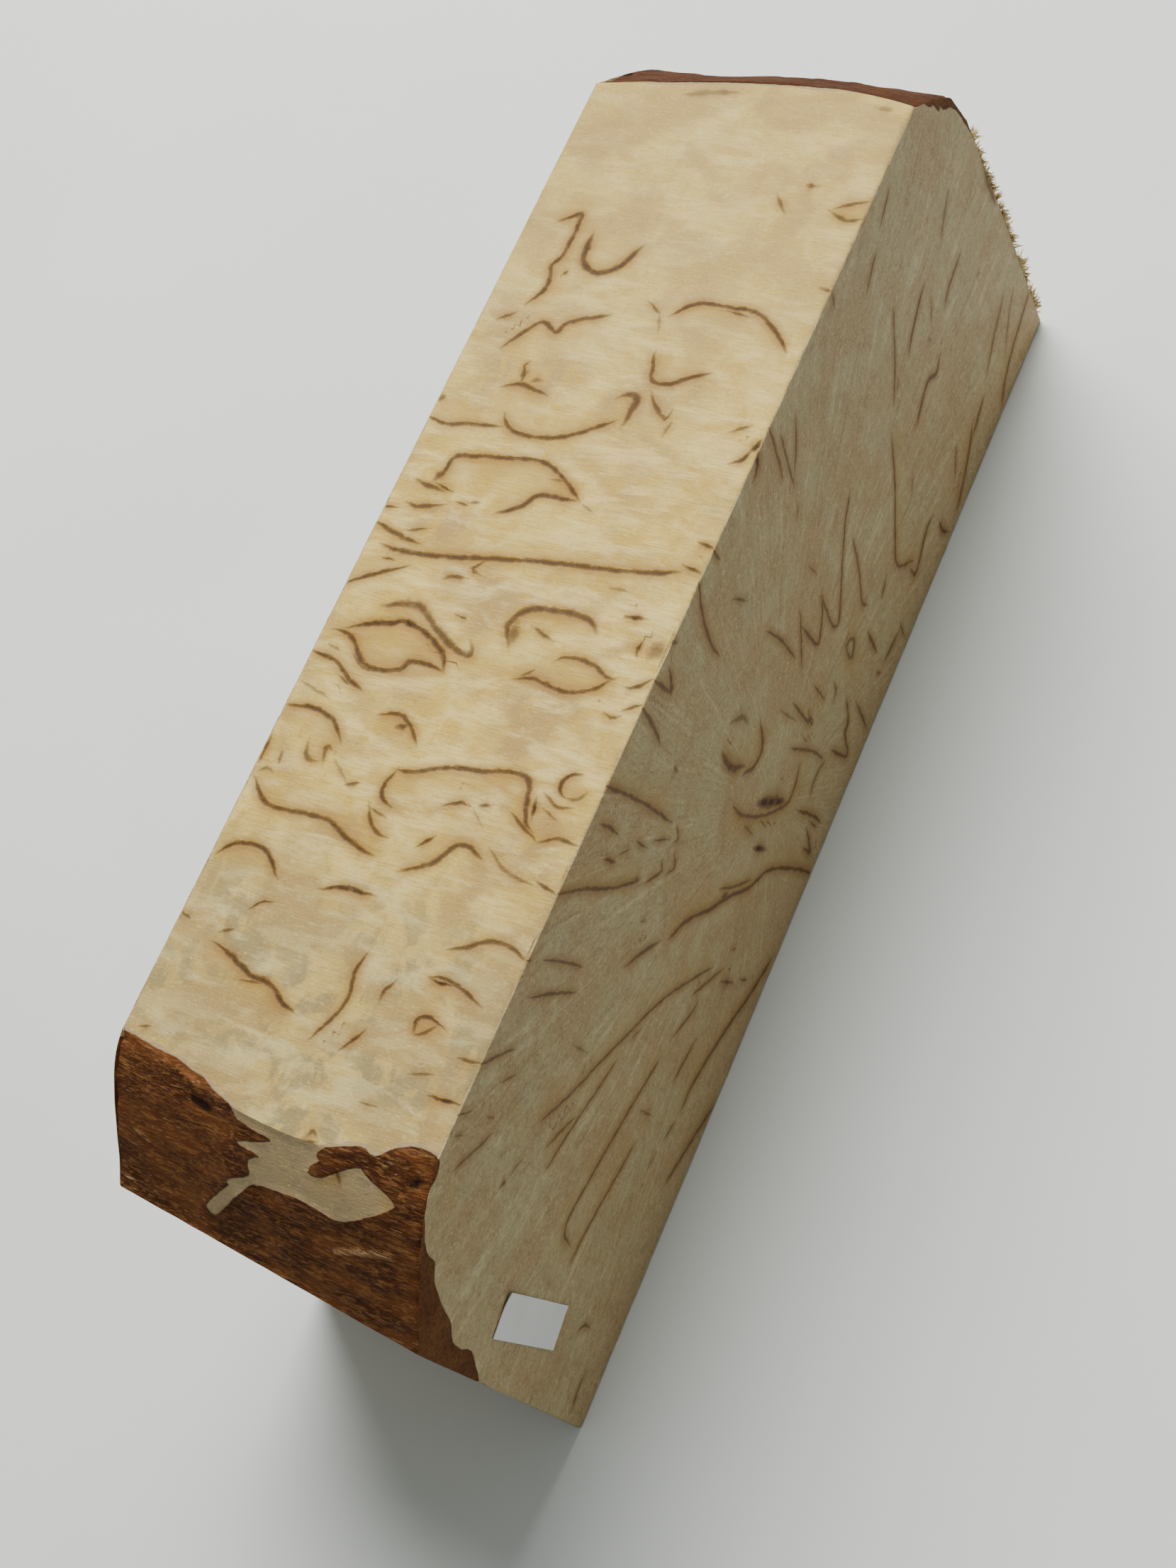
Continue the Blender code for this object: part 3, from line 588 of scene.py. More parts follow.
PITH_X, PITH_Z = -6.5, 25.0     # the heart of the log, which the end grain turns about
mirrored = turned(END_STROKES, lambda a, b: 2 * PITH_X - a, lambda a, b: b)
upturned = turned(TOP_STROKES, lambda a, b: -a, lambda a, b: b)
near_cut = turned(TOP_STROKES, lambda a, b: b, lambda a, b: a + 16)     # from the top's middle
far_cut = turned(TOP_STROKES, lambda a, b: -b, lambda a, b: a + 48)     # from nearer its near end
FIGURES = {"front": END_STROKES, "back": mirrored, "top": TOP_STROKES, "base": upturned,
           "near": near_cut, "far": far_cut}
PLANES = {      # the two directions that each face is measured along
    "front": [0, 2], "back": [0, 2], "top": [0, 1], "base": [0, 1], "near": [1, 2], "far": [1, 2],
}
measured = {name: np.moveaxis(place[name][..., PLANES[name]], -1, 0) for name in FACES}
figure = {name: draw(FIGURES[name], *measured[name]) for name in FACES}

# Marks in the near bark, seen from above: each is how dark it is, or how pale if below 0, how wide,
# and the points that it passes, as (x, y).
BARK_MARKS = (
    (1.0, .45, (-78.6, 9.8), (-79.0, 7.3)),
    (.80, .50, (-79.3, -20.5), (-78.4, -21.3)),
    (-.8, .28, (-87.9, -11.4), (-87.1, -15.5), (-86.6, -19.0)),
    (-.7, .25, (-77.9, -5.6), (-76.5, -4.4)),
    (-.7, .22, (-78.6, -16.5), (-77.9, -17.6)),
    (-.6, .20, (-87.6, 21.0), (-88.0, 19.0)),
    (-.6, .20, (-83.3, 18.5), (-83.8, 16.5)),
    (-.5, .20, (-77.0, 10.0), (-76.6, 8.5)),
    (-.5, .20, (-75.8, 16.0), (-75.6, 14.0)),
)
mark = {name: np.zeros(grid.shape) for name, grid in FACES.items()}
for name in ("top", "near"):
    for shade, wide, *points in BARK_MARKS:
        off = nearest(trace(points, 12), place[name][..., 0], place[name][..., 1])[1]
        mark[name] += shade * np.exp(-(off / wide) ** 2)

# Relief, all of it into the wood: the bark's fibres and its edge, saw marks, seams that have
# opened, and the worn arrises.
relief = {}
outward = {"front": (0, -1, 0), "back": (0, 1, 0), "top": (0, 0, 1), "base": (0, 0, -1)}
for name, sign in (("near", -1), ("far", 1)):
    normal = np.cross(np.gradient(place[name], axis=0), np.gradient(place[name], axis=1))
    outward[name] = sign * normal / np.linalg.norm(normal, axis=-1, keepdims=True)
BARE_SUNK = 0.28        # how far bare wood on a wane lies below the block's plain skin
EDGE_SUNK = 0.16        # how deep the step up to the bark begins
BARK_ROUGH = 0.30       # the middle depth of the bark's own fibres
MARK_DEPTH = 0.30       # and of the marks in it
SAW_MARK = 0.06
SEAM_DEPTH, SEAM_REACH = 0.14, 0.8
OPEN_SEAM = 0.85        # a seam darker than this has opened
TOP_ARRIS_SUNK = 0.08   # how deep a wane ends at the sawn top, so that this arris stays sharp
ARRIS_WORN, ARRIS_WAVE, ARRIS_NICK = 0.13, 0.07, 0.16
FIBRE_ROW = 0.5         # how long a cell of a wane is, about
for name, grid in FACES.items():
    a, b = measured[name]
    sunk = SAW_MARK * (0.5 + 0.5 * noise(a / 2.3 + 0.2 * b, b / 17, seed=11))
    seam_off, seam_dark = figure[name][0][..., 0], figure[name][0][..., 1]
    seam = (seam_dark > OPEN_SEAM) * np.exp(-(seam_off / SEAM_REACH) ** 2)
    sunk = sunk + SEAM_DEPTH * seam.max(0)
    border = np.zeros(grid.shape, bool)
    border[[0, -1]] = name != "top"
    border[:, [0, -1]] = True
    if name in ("near", "far"):
        border[:, -1] = False
        row = np.arange(grid.shape[1])
        run = np.maximum(row - CELLS_END, 0) * FIBRE_ROW
        fibre = (0.15 * noise(run / 1.5 + a / 7, a / 4.5, seed=21)
                 + 0.10 * noise(run, a / 2.6, seed=22) + 0.20 * noise(run / 5, a / 9, seed=23))
        rough = BARK_ROUGH + fibre + MARK_DEPTH * mark[name]
        skinned = ease(row - CELLS_END, -1, 2)
        covered = np.where(bark[name] > 0, rough, EDGE_SUNK) * ease(bark[name], -0.4, 0.5)
        bare = BARE_SUNK * ease(-bark[name], -0.1, 0.35)
        sunk = sunk * (1 - skinned) + skinned * (covered + bare)
        sunk = TOP_ARRIS_SUNK + (sunk - TOP_ARRIS_SUNK) * ease(row[-1] - row, 0, 2.5)
    nicked = ease(noise(a / 4.1, b / 4.1, seed=42), 0.45, 0.95)
    wear = ARRIS_WORN + ARRIS_WAVE * noise(a / 1.3, b / 1.3, seed=41) + ARRIS_NICK * nicked
    relief[name] = sunk + border * wear
relief["top"][[0, -1]] = 0.0
for name, grid in FACES.items():
    skin[grid] -= relief[name][..., None] * outward[name]


def cells(values, flip):
    """The four corners of every cell of a grid of values, in the order that faces outward."""
    a, b, c, d = values[:-1, :-1], values[1:, :-1], values[1:, 1:], values[:-1, 1:]
    ring = (a, d, c, b) if flip else (a, b, c, d)
    return np.stack(ring, axis=2).reshape(-1, *values.shape[2:])


def corners(per_face):
    """One value for each corner of the mesh, from a grid of values for each face."""
    return np.concatenate([cells(per_face[name], name in FLIPPED) for name in FACES])


def new_piece(name, points, faces):
    """A mesh object from points in millimetres and faces that list their points."""
    mesh = bpy.data.meshes.new(name)
    mesh.from_pydata((points * MM).tolist(), [], faces)
    mesh.validate()
    mesh.shade_smooth()
    piece = bpy.data.objects.new(name, mesh)
    bpy.context.scene.collection.objects.link(piece)
    return piece


def carry(piece, name, kind, values):
    """Give the mesh's corners a value each, which the material reads by name."""
    layer = piece.data.attributes.new(name, kind, "CORNER")
    key = {"FLOAT": "value", "FLOAT_VECTOR": "vector"}[kind]
    layer.data.foreach_set(key, np.ascontiguousarray(values, np.float32).ravel())


ARRIS_ANGLE = np.radians(38)    # edges that turn more than this are shaded as sharp ones
block = new_piece("birch_block_wood", skin, corners(FACES).reshape(-1, 4).tolist())
block.data.set_sharp_from_angle(angle=ARRIS_ANGLE)
for n in range(CHANNELS):
    carry(block, f"stroke_{n}", "FLOAT_VECTOR",
          corners({name: figure[name][0][n] for name in FACES}))
carry(block, "stain", "FLOAT", corners({name: figure[name][1] for name in FACES}))
carry(block, "bark", "FLOAT",
      corners({name: np.clip(bark[name], NO_BARK, -NO_BARK) for name in FACES}))
endgrain = {name: np.zeros(grid.shape) for name, grid in FACES.items()}
endgrain["front"] += 1
endgrain["back"] += 1
carry(block, "endgrain", "FLOAT", corners(endgrain))
wane = {name: np.zeros(grid.shape) for name, grid in FACES.items()}
for name in ("near", "far"):
    wane[name][:, CELLS_END:] = 1.0
wane["top"] = ease(bark["top"], -0.6, -0.2)
carry(block, "wane", "FLOAT", corners(wane))
carry(block, "mark", "FLOAT", corners(mark))

# Where each face lies on the block's flat chart, 240 mm square, so that a baked texture is sharp.
# The wanes are rolled out flat.
CHART = 240.0
CHART_PLACES = {"front": (95.5, 0.5), "back": (95.5, 73.5), "top": (95.5, 169.5),
                "base": (95.5, 216.5), "near": (214.5, 0.5), "far": (214.5, 84.0)}
rolled = dict(measured)
for name, rows in (("near", near_rows), ("far", far_rows)):
    steps = np.linalg.norm(np.diff(rows, axis=1), axis=-1)
    rolled[name] = measured[name][0], np.pad(steps.cumsum(1), ((0, 0), (1, 0)))
flat = {name: np.stack(rolled[name], -1) + CHART_PLACES[name] for name in FACES}
chart = block.data.uv_layers.new(name="OFBake")
chart.data.foreach_set("uv", np.ascontiguousarray(corners(flat) / CHART, np.float32).ravel())


class Reading:
    """One output of a node. A sum written with readings adds the Math nodes that work it out."""

    def __init__(self, finish, link):
        self.finish, self.link = finish, link

    def sum(self, operation, *values):
        """A Math node on these values, in their order."""
        return self.finish.node("ShaderNodeMath", {"operation": operation}, dict(enumerate(values)))

    def __add__(self, other):
        return self.sum("ADD", self, other)

    def __sub__(self, other):
        return self.sum("SUBTRACT", self, other)

    def __rsub__(self, other):
        return self.sum("SUBTRACT", other, self)

    def __mul__(self, other):
        return self.sum("MULTIPLY", self, other)

    def __pow__(self, other):
        return self.sum("POWER", self, other)

    def __abs__(self):
        return self.sum("ABSOLUTE", self)

    def __or__(self, other):
        return self.sum("MAXIMUM", self, other)

    __radd__, __rmul__ = __add__, __mul__

    def ease(self, low, high):
        """0 at low and 1 at high, on the smooth step; low may lie above high."""
        return self.finish.node(
            "ShaderNodeMapRange", {"interpolation_type": "SMOOTHSTEP", "clamp": True},
            {"Value": self, "From Min": low, "From Max": high})


class Finish:
    """A material being made: its nodes come from one method, and its surface is set at the end."""

    def __init__(self, name):
        self.material = bpy.data.materials.new(name)
        self.material.use_nodes = True
        self.tree = self.material.node_tree
        self.shader = self.tree.nodes["Principled BSDF"]
        self.at = self.node("ShaderNodeVectorMath", {"operation": "SCALE"},
                            {0: self.node("ShaderNodeTexCoord", out="Object"), 3: 1 / MM})

    def node(self, kind, settings=(), sockets=(), out=0):
        """A node of that type: its settings first, then the values or links of its sockets."""
        made = self.tree.nodes.new(kind)
        for name, value in dict(settings).items():
            setattr(made, name, value)
        for name, value in dict(sockets).items():
            self.plug(made.inputs[name], value)
        return Reading(self, made.outputs[out])

    def plug(self, socket, value):
        """Set a socket to a value, or link it to a reading."""
        if isinstance(value, Reading):
            self.tree.links.new(value.link, socket)
        else:
            socket.default_value = value

    def attribute(self, name, out="Fac"):
        """What the mesh's corners carry under that name."""
        return self.node("ShaderNodeAttribute", {"attribute_name": name}, out=out)

    def parts(self, vector):
        """The three numbers of a vector."""
        first = self.node("ShaderNodeSeparateXYZ", sockets={0: vector})
        return [Reading(self, output) for output in first.link.node.outputs]

    def vector(self, x, y, z):
        """Three numbers as a vector."""
        return self.node("ShaderNodeCombineXYZ", sockets={0: x, 1: y, 2: z})

    def clouds(self, size, detail=2.0, rough=0.5, twist=0.0, at=None, seed=0.0):
        """Soft noise from 0 to 1, whose patches are size = (x, y, z) millimetres across."""
        spot = self.node("ShaderNodeVectorMath", {"operation": "DIVIDE"},
                         {0: at or self.at, 1: size})
        return self.node("ShaderNodeTexNoise", {"noise_dimensions": "4D"},
                         {"Vector": spot, "W": seed, "Scale": 1.0, "Detail": detail,
                          "Roughness": rough, "Distortion": twist})

    def mix(self, share, first, second):
        """The second colour laid over the first, as strongly as share says."""
        return self.node("ShaderNodeMix", {"data_type": "RGBA"},
                         {0: share, 6: first, 7: second}, out=2)

    def layers(self, ground, *laid):
        """A ground colour with others laid over it in turn, each given as (share, colour)."""
        for share, colour in laid:
            ground = self.mix(share, ground, colour)
        return ground

    def surface(self, **sockets):
        """Set the shader's sockets by their names, with _ for a space."""
        for name, value in sockets.items():
            self.plug(self.shader.inputs[name.replace("_", " ")], value)
        return self.material


# The wood's finish. Long grain is cream with grey and honey clouds drawn out along the log, end
# grain is greyer with faint rays about the heart, and bark is a dark brown felt of fibres.
CREAM = (0.54, 0.394, 0.102, 1)
PALE = (0.69, 0.565, 0.225, 1)
YELLOW = (0.45, 0.300, 0.054, 1)
GREYED = (0.34, 0.225, 0.072, 1)
SHADED = (0.40, 0.310, 0.118, 1)
SILVER_AND_SHADE = (0.225, 0.178, 0.084, 1)
FROSTED = (0.47, 0.395, 0.178, 1)
HONEY = (0.30, 0.172, 0.030, 1)
SEAM = (0.034, 0.0125, 0.0020, 1)
SEAM_END = (0.078, 0.034, 0.012, 1)
SEAM_EDGE = (0.20, 0.090, 0.022, 1)
END_TAN = (0.330, 0.228, 0.106, 1)
END_GREY = (0.350, 0.286, 0.145, 1)
END_PALE = (0.54, 0.45, 0.26, 1)
END_BROWN = (0.205, 0.118, 0.054, 1)
END_BOUNCE_LIGHT = (0.44, 0.305, 0.145, 1)
BARK_DARK = (0.046, 0.0130, 0.0028, 1)
BARK_RED = (0.108, 0.034, 0.0078, 1)
BARK_CUT = (0.165, 0.066, 0.017, 1)
BARK_FIBRE = (0.210, 0.090, 0.026, 1)
BARK_FLECK = (0.46, 0.29, 0.14, 1)
HOLLOW_SHADE = (0.020, 0.007, 0.002, 1)
BARE_AND_SHADED_WOOD = (0.285, 0.212, 0.118, 1)
birch = Finish("birch_wood_and_bark")
px, py, pz = birch.parts(birch.at)
end_share = birch.attribute("endgrain").ease(0.4, 0.6)
wane_share = birch.attribute("wane").ease(0.4, 0.6)

wobble = birch.clouds((1.6, 1.6, 1.6), seed=1.0) - 0.5
kinks = birch.clouds((0.5, 0.5, 0.5), seed=1.2) - 0.5
worn = birch.clouds((1.1, 1.1, 1.1), seed=1.5).ease(0.34, 0.60)
slimmer = 1 - 0.35 * end_share
lines, seam_edge = 0.0, 0.0
for n in range(CHANNELS):
    distance, dark, half = birch.parts(birch.attribute(f"stroke_{n}", out="Vector"))
    away = abs(distance + 0.50 * wobble + 0.05 * kinks)
    core = away.ease(half * (1.1 + 0.9 * worn) * slimmer + 0.03, half * 0.3) * dark ** 0.4
    side = away.ease(half * 2.0 + 1.0, 0.0) * dark ** 0.6
    lines, seam_edge = core | lines, side | seam_edge
# The darkest seams have opened; their near black is painted shade in the openings.
crack_shade = lines.ease(0.95, 0.99) * worn
lines = lines * (0.80 + 0.20 * worn)
stain = birch.attribute("stain")

GREY_AND_SHADE_TO = -40.0    # the near end of the top is greyer and darker up to about this x: partly the wood's weathered grey, partly painted shade
BARE_TO = -86.0         # and from here to the near end the wood is bare and darker: its own bare colour and painted shade
FOOT_BOUNCE_HIGH = 18.0        # how high up the foot of the end grain is painted lighter and warmer: painted light bounced off the floor
weathered_and_shaded = (GREY_AND_SHADE_TO - px).ease(0.0, 18.0)
# The far half of the top and of the bark is painted darker: painted shade.
far_shade = px.ease(0.0, 60.0)
drift = birch.clouds((10, 12, 10), twist=0.8, seed=2.0)
# Pale silky streaks along the grain: partly paler wood, partly painted sheen.
silk_and_sheen = birch.clouds((2.6, 7.5, 2.6), detail=3, rough=0.55, twist=0.8, seed=3.0)
grain = birch.clouds((0.22, 3.2, 0.22), seed=4.0)
dust = birch.clouds((0.30, 0.45, 0.30), rough=0.7, seed=5.0)
specks = birch.clouds((0.35, 0.8, 0.35), detail=3, rough=0.8, seed=5.2)
flame = birch.clouds((7, 5, 7), detail=3, rough=0.6, twist=1.2, seed=5.5)
long_grain = birch.layers(
    birch.mix(drift.ease(0.34, 0.60), GREYED, CREAM),
    (flame.ease(0.44, 0.62) * 0.80, YELLOW),
    (silk_and_sheen.ease(0.42, 0.68) * 0.60, PALE),
    (grain.ease(0.42, 0.70) * 0.36, HONEY),
    # the near end of the top: its own weathered grey and painted shade
    (weathered_and_shaded * (0.32 + 0.55 * flame.ease(0.44, 0.58)), SILVER_AND_SHADE),
    (weathered_and_shaded * silk_and_sheen.ease(0.48, 0.64) * 0.60, FROSTED),
    (weathered_and_shaded * drift.ease(0.56, 0.40) * 0.5, GREYED),
    (far_shade * 0.42, SHADED),
    (px.ease(20.0, 60.0) * drift.ease(0.58, 0.44) * 0.55, GREYED))

dx, dz = px - PITH_X, pz - PITH_Z
radius = (dx * dx + dz * dz) ** 0.5
angle = birch.node("ShaderNodeMath", {"operation": "ARCTAN2"}, {0: dz, 1: dx})
polar = birch.vector(radius, angle * 40.0, py)
rays = birch.clouds((15, 1.1, 60), detail=3, rough=0.6, twist=0.4, at=polar, seed=6.0)
slivers = birch.clouds((26, 0.45, 60), at=polar, seed=6.2)
pores = birch.clouds((1.3, 0.40, 2.0), detail=4, rough=0.75, twist=0.6, at=polar, seed=6.5)
flecks = birch.clouds((0.9, 3.0, 0.55), detail=3, rough=0.7, twist=1.5, seed=6.8)
rings = birch.clouds((2.6, 60, 60), at=polar, seed=7.0)
patches = birch.clouds((10, 60, 10), detail=4, rough=0.6, twist=0.8, seed=8.0)
scratch = birch.clouds((0.28, 9, 14), at=birch.vector(px + 0.12 * pz, py, pz), seed=8.5)
end_grain = birch.layers(
    birch.mix(patches.ease(0.40, 0.60), END_TAN, END_GREY),
    (rays.ease(0.52, 0.70) * patches.ease(0.3, 0.6) * 0.50, END_PALE),
    (rays.ease(0.44, 0.30) * 0.40, END_BROWN),
    # painted bounce light from the floor on the foot of the end grain
    ((FOOT_BOUNCE_HIGH - pz).ease(0.0, FOOT_BOUNCE_HIGH) * 0.65, END_BOUNCE_LIGHT),
    (slivers.ease(0.62, 0.74) * 0.45, END_PALE),
    (pores.ease(0.45, 0.66) * 0.52, END_BROWN),
    (flecks.ease(0.50, 0.66) * 0.45, END_PALE),
    (rings.ease(0.5, 0.8) * 0.22, END_BROWN),
    (scratch.ease(0.56, 0.72) * 0.16, END_PALE))

wood = birch.layers(
    birch.mix(end_share, long_grain, end_grain),
    ((BARE_TO - px).ease(0.0, 3.0) * (1 - end_share) * 0.45, BARE_AND_SHADED_WOOD),
    # the bare wood of the wanes is darker: its own colour and painted shade
    (wane_share * 0.85, BARE_AND_SHADED_WOOD),
    (dust.ease(0.50, 0.70) * 0.22, SEAM_END),
    (specks.ease(0.54, 0.70) * 0.35, PALE),
    (stain * 0.85, HONEY),
    (seam_edge * 0.68, SEAM_EDGE),
    (lines * (0.95 - 0.10 * end_share), birch.mix(end_share, SEAM, SEAM_END)),
    (crack_shade * 0.75, HOLLOW_SHADE))

felt = birch.clouds((0.40, 1.9, 0.40), detail=4, rough=0.7, twist=1.0, seed=9.0)
thread = birch.clouds((0.22, 2.6, 0.22), detail=3, rough=0.6, twist=1.4, seed=10.0)
patch = birch.clouds((4, 7, 4), detail=3, seed=11.0)
blot = birch.attribute("mark")
skin_bark = birch.layers(
    birch.mix(patch.ease(0.40, 0.60), BARK_DARK, BARK_RED),
    (felt.ease(0.46, 0.62) * 0.75, BARK_FIBRE),
    (thread.ease(0.60, 0.70) * 0.40, BARK_FLECK),
    # the dark bark marks are sunk hollows, painted near black: painted shade
    (blot.ease(0.15, 0.7), HOLLOW_SHADE),
    (blot.ease(-0.1, -0.7) * thread.ease(0.40, 0.58) * 0.8, BARK_FLECK),
    # painted shade on the far bark
    (far_shade * 0.70, BARK_DARK))
bark_lines = birch.clouds((0.45, 6, 0.45), detail=3, rough=0.6, twist=0.8, seed=11.5)
cut_bark = birch.layers(
    birch.mix(patch.ease(0.38, 0.62) * 0.7, BARK_CUT, BARK_RED),
    (bark_lines.ease(0.44, 0.62) * 0.65, BARK_DARK),
    (thread.ease(0.54, 0.70) * 0.45, BARK_FIBRE))
bark_colour = birch.mix(wane_share, cut_bark, skin_bark)

edge = birch.attribute("bark") + 0.4 * wobble
bark_share = edge.ease(-0.08, 0.08)
# A dark line along the bark's edge: partly the bark's darker rim, partly painted shadow of its
# raised edge.
outline = abs(edge - 0.10).ease(0.30, 0.0)
colour = birch.layers(wood, (bark_share, bark_colour), (outline * 0.3, BARK_DARK))

wood_height = 0.5 * grain + 0.5 * dust - 1.2 * lines
bark_height = 3.0 * felt + 2.0 * thread
height = wood_height * (1 - bark_share) + bark_height * bark_share
bump = birch.node("ShaderNodeBump", sockets={"Strength": 0.8, "Distance": 0.12 * MM,
                                             "Height": height}, out="Normal")
block.data.materials.append(birch.surface(
    Base_Color=colour, Roughness=0.62 + 0.25 * bark_share - 0.06 * silk_and_sheen, Normal=bump,
    Specular_IOR_Level=0.13))
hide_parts("birch_block")
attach(block, "root")

# Where the saw left the far end, it tore the wood instead of cutting it: a fringe of thin pale
# fibres stands out of the front arris in tufts, each fibre rooted in the wood, bent over and
# tapered.
BLADES, BLADE_STATIONS, TUFTS = 420, 5, 46
FRINGE_LOW, FRINGE_HIGH = 2.5, 52.0
FRINGE_FAR, FRINGE_FRONT = FAR_X - 0.05, FRONT_Y - 0.55     # no fibre reaches further out
FIBRE_BROWN, FIBRE_PALE = (0.30, 0.175, 0.06, 1), (0.66, 0.50, 0.24, 1)
chance = np.random.default_rng(61)
tuft = chance.integers(0, TUFTS, BLADES)
tuft_z = chance.uniform(FRINGE_LOW, FRINGE_HIGH, TUFTS)
root_z = np.clip(tuft_z[tuft] + chance.normal(0, 0.9, BLADES), FRINGE_LOW, FRINGE_HIGH)
arris = place["far"][0, :CELLS_END + 1]
root = np.stack((np.interp(root_z, arris[:, 2], arris[:, 0]), np.full(BLADES, FRONT_Y), root_z), -1)
root += chance.uniform((-0.30, 0.05, 0), (-0.10, 0.45, 0), (BLADES, 3))
aim = chance.normal((0.70, -0.20, -0.30), (0.20, 0.25, 0.60), (TUFTS, 3))[tuft]
aim += chance.normal(0, 0.25, (BLADES, 3))
aim /= np.linalg.norm(aim, axis=1, keepdims=True)
reach = chance.uniform(0.7, 2.3, TUFTS)[tuft] * chance.uniform(0.4, 1.1, BLADES)
bend = chance.uniform(0.0, 0.5, BLADES)
stout = chance.uniform(0.10, 0.26, BLADES)


def blades():
    """The blades: the middle of each runs from its root along its aim and droops as the square of
    the share t walked, and its radius shrinks as 1 - 0.9 t. Each has three sides."""
    t = np.linspace(0, 1, BLADE_STATIONS)[None, :, None]
    line = root[:, None] + reach[:, None, None] * (aim[:, None] * t
                                                   - (0, 0, 1) * bend[:, None, None] * t ** 2)
    sideways = np.cross(aim, (0.3, 1.0, 0.2))
    sideways /= np.linalg.norm(sideways, axis=1, keepdims=True)
    third = np.cross(aim, sideways)
    turn = np.linspace(0, 2 * np.pi, 3, endpoint=False)[:, None]
    ring = np.cos(turn) * sideways[:, None] + np.sin(turn) * third[:, None]
    return line[:, :, None] + (stout[:, None, None] * (1 - 0.9 * t))[..., None] * ring[:, None]


fringe = blades()
fringe[..., 0] = np.minimum(fringe[..., 0], FRINGE_FAR)
fringe[..., 1] = np.maximum(fringe[..., 1], FRINGE_FRONT)
knot = np.arange(fringe[..., 0].size).reshape(fringe.shape[:3])
loop = np.concatenate((knot, knot[:, :, :1]), axis=2)
sides = np.stack((loop[:, :-1, :-1], loop[:, :-1, 1:], loop[:, 1:, 1:], loop[:, 1:, :-1]), -1)
fibres = new_piece("torn_fibres", fringe.reshape(-1, 3),
                   sides.reshape(-1, 4).tolist() + knot[:, 0, ::-1].tolist() + knot[:, -1].tolist())
straw = Finish("torn_birch_fibre")
tint = straw.clouds((1.2, 1.2, 2.5), seed=15.0)
fibres.data.materials.append(straw.surface(
    Base_Color=straw.mix(tint.ease(0.35, 0.62), FIBRE_BROWN, FIBRE_PALE),
    Roughness=0.7, Specular_IOR_Level=0.25))
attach(fibres, "root")

# The sticker is a small blank slip of white paper, pressed onto the end grain a little askew. Its
# glue holds all but one corner, which has lifted.
STICKER_LONG, STICKER_SHORT, STICKER_PAPER = 19.0, 5.8, 0.12
STICKER_X, STICKER_Z, STICKER_TURN = -82.75, 30.2, np.radians(-11.0)
STICKER_GLUE, STICKER_LIFT, STICKER_WAVE = 0.06, 0.38, 0.02
PAPER_CELLS_LONG, PAPER_CELLS_SHORT = 40, 14
PAPER_WHITE, PAPER_WORN = (0.66, 0.66, 0.64, 1), (0.58, 0.575, 0.55, 1)


def paper():
    """The side of the slip that faces the wood, over (p, q), both from -1 to 1: it lies flat, and
    is lifted by the fourth power of (p + q) / 2 where that is above 0."""
    p, q = np.meshgrid(np.linspace(-1, 1, PAPER_CELLS_LONG + 1),
                       np.linspace(-1, 1, PAPER_CELLS_SHORT + 1), indexing="ij")
    lifted = STICKER_LIFT * np.clip(0.5 * (p + q), 0, 1) ** 4
    lifted += STICKER_WAVE * noise(3 * p, 2 * q, seed=31)
    down, over = 0.5 * STICKER_LONG * p, 0.5 * STICKER_SHORT * q
    cos, sin = np.cos(STICKER_TURN), np.sin(STICKER_TURN)
    across = STICKER_X + over * cos + down * sin
    up = STICKER_Z - over * sin + down * cos
    return np.stack((across, FRONT_Y - STICKER_GLUE - lifted, up), -1)


under = paper()
both = np.stack((under, under - (0, STICKER_PAPER, 0)), axis=2)
slip = np.arange(both[..., 0].size).reshape(both.shape[:3])
walls = [cells(slip[:, :, 1], True), cells(slip[:, :, 0], False), cells(slip[:, 0, :], True),
         cells(slip[:, -1, :], False), cells(slip[0], False), cells(slip[-1], True)]
sticker = new_piece("paper_slip", both.reshape(-1, 3), np.concatenate(walls).reshape(-1, 4).tolist())
sticker.data.set_sharp_from_angle(angle=ARRIS_ANGLE)
sheet = Finish("white_paper")
pulp = sheet.clouds((0.5, 0.5, 0.5), detail=4, rough=0.7, seed=12.0)
scuff = sheet.clouds((4, 4, 4), detail=3, seed=13.0)
tone = sheet.mix(scuff.ease(0.4, 0.75) * 0.5, PAPER_WHITE, PAPER_WORN)
sticker.data.materials.append(sheet.surface(
    Base_Color=tone, Roughness=0.75 + 0.1 * pulp, Specular_IOR_Level=0.25,
    Normal=sheet.node("ShaderNodeBump", sockets={"Strength": 0.4, "Distance": 0.02 * MM,
                                                 "Height": pulp}, out="Normal")))
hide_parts("paper_sticker")
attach(sticker, "root")

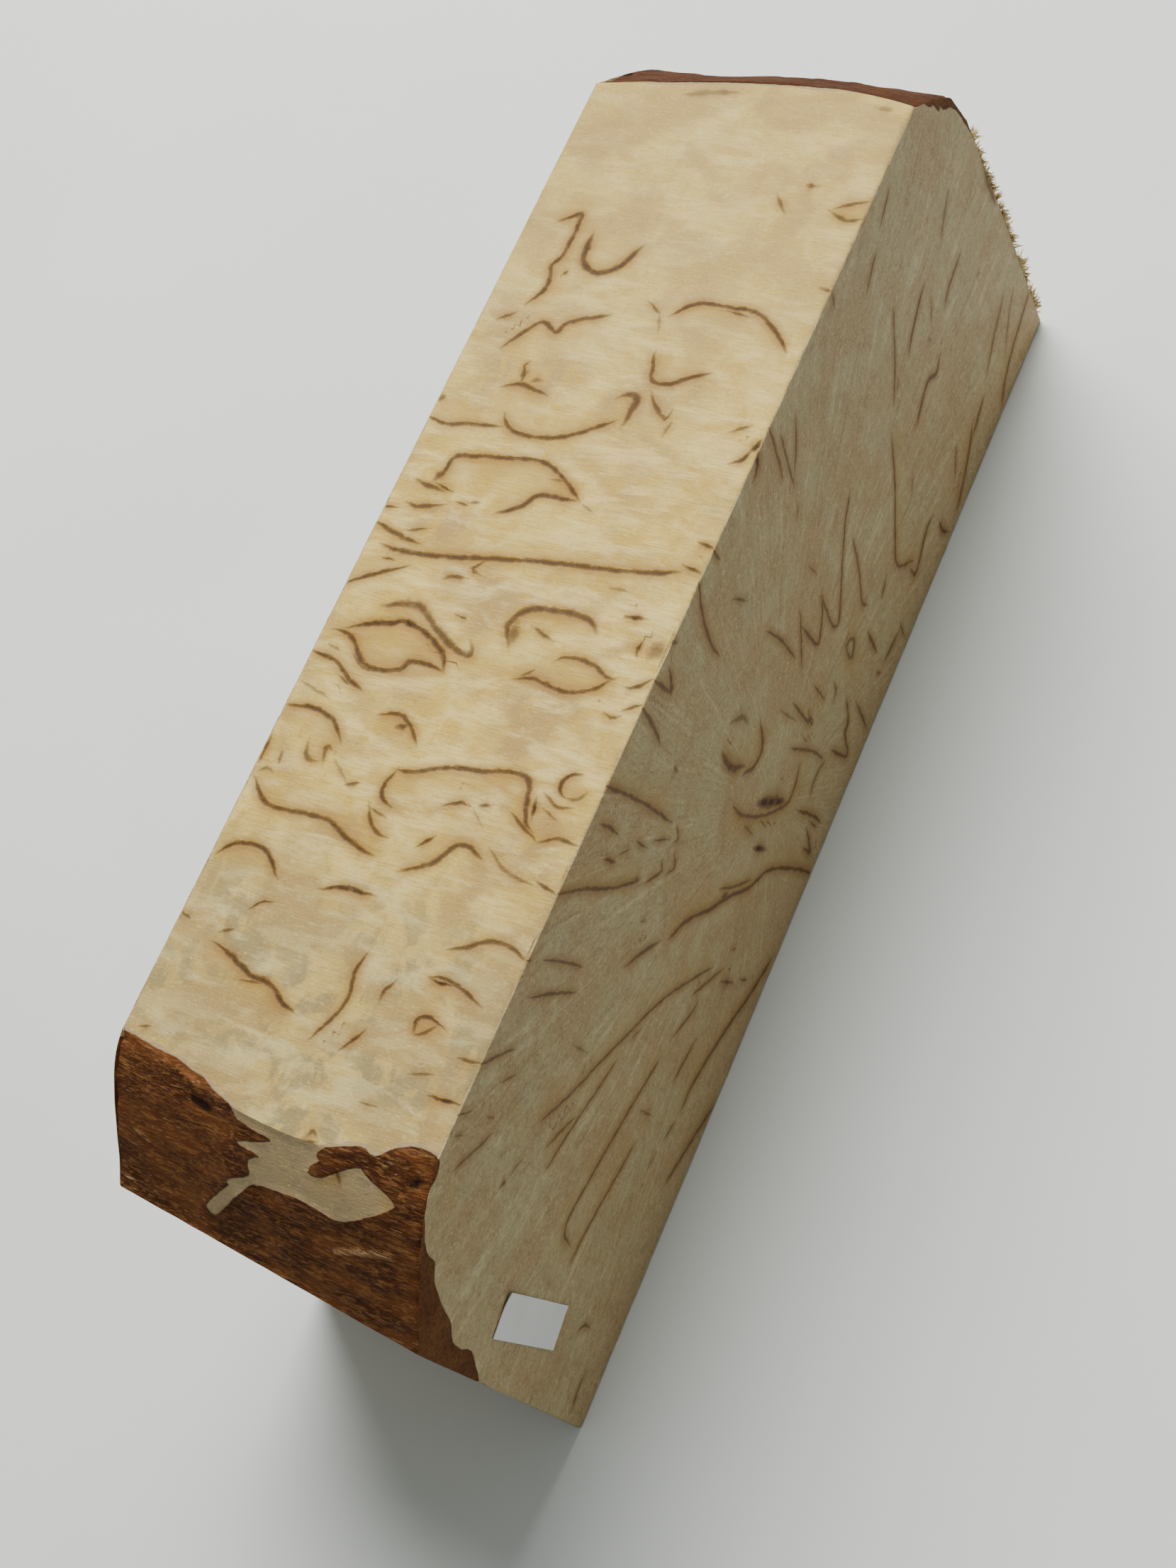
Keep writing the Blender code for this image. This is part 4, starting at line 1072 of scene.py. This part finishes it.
# The floor is a plain pale sheet, lit like a table near a big window: one broad soft light high up
# behind the block, on its back side, and an even pale sky.
FLOOR_HALF = 900.0
FLOOR_GREY, FLOOR_PALE = (0.64, 0.67, 0.645, 1), (0.67, 0.70, 0.675, 1)
WINDOW_FROM, WINDOW_WIDE = Vector((0.42, 0.217, 0.745)), 0.66       # in metres
WINDOW_POWER, WINDOW_COLOUR = 17.0, (1.0, 0.985, 0.96)
SKY_STRENGTH, SKY_COLOUR = 0.36, (0.93, 0.97, 0.96, 1)
floor_corners = FLOOR_HALF * np.array([(-1, -1, 0), (1, -1, 0), (1, 1, 0), (-1, 1, 0)])
floor = new_piece("floor", floor_corners, [(0, 1, 2, 3)])
pale = Finish("pale_floor")
mottle = pale.clouds((60, 60, 60), detail=3, seed=14.0)
floor.data.materials.append(pale.surface(
    Base_Color=pale.mix(mottle.ease(0.3, 0.7), FLOOR_GREY, FLOOR_PALE),
    Roughness=0.8, Specular_IOR_Level=0.2))

window = bpy.data.lights.new("window", "AREA")
window.shape, window.size, window.energy = "DISK", WINDOW_WIDE, WINDOW_POWER
window.color = WINDOW_COLOUR
window_at = bpy.data.objects.new("window", window)
facing = (-WINDOW_FROM).to_track_quat("-Z", "Y")
window_at.matrix_world = Matrix.Translation(WINDOW_FROM) @ facing.to_matrix().to_4x4()
bpy.context.scene.collection.objects.link(window_at)
sky = bpy.data.worlds.new("sky")
sky.use_nodes = True
sky.node_tree.nodes["Background"].inputs["Color"].default_value = SKY_COLOUR
sky.node_tree.nodes["Background"].inputs["Strength"].default_value = SKY_STRENGTH
bpy.context.scene.world = sky

# The camera looks down on the block from beyond its near end, tilted, as a held one is. Its place
# is in millimetres, and its three directions are the picture's right, its down and into it.
CAMERA_AT = (-119.87, -138.47, 306.25)
CAMERA_RIGHT = (0.39212, -0.87355, -0.28836)
CAMERA_DOWN = (-0.85977, -0.23652, -0.45261)
CAMERA_VIEW = (0.32717, 0.42540, -0.84379)
SENSOR_HIGH, FOCAL_LENGTH = 36.0, 55.33
lens = bpy.data.cameras.new("camera")
lens.sensor_fit, lens.sensor_height, lens.lens = "VERTICAL", SENSOR_HIGH, FOCAL_LENGTH
lens.clip_start, lens.clip_end = 0.01, 10.0
camera = bpy.data.objects.new("camera", lens)
turn = Matrix((CAMERA_RIGHT, [-v for v in CAMERA_DOWN], [-v for v in CAMERA_VIEW])).transposed()
camera.matrix_world = Matrix.Translation(Vector(CAMERA_AT) * MM) @ turn.to_4x4()
bpy.context.scene.collection.objects.link(camera)
bpy.context.scene.camera = camera
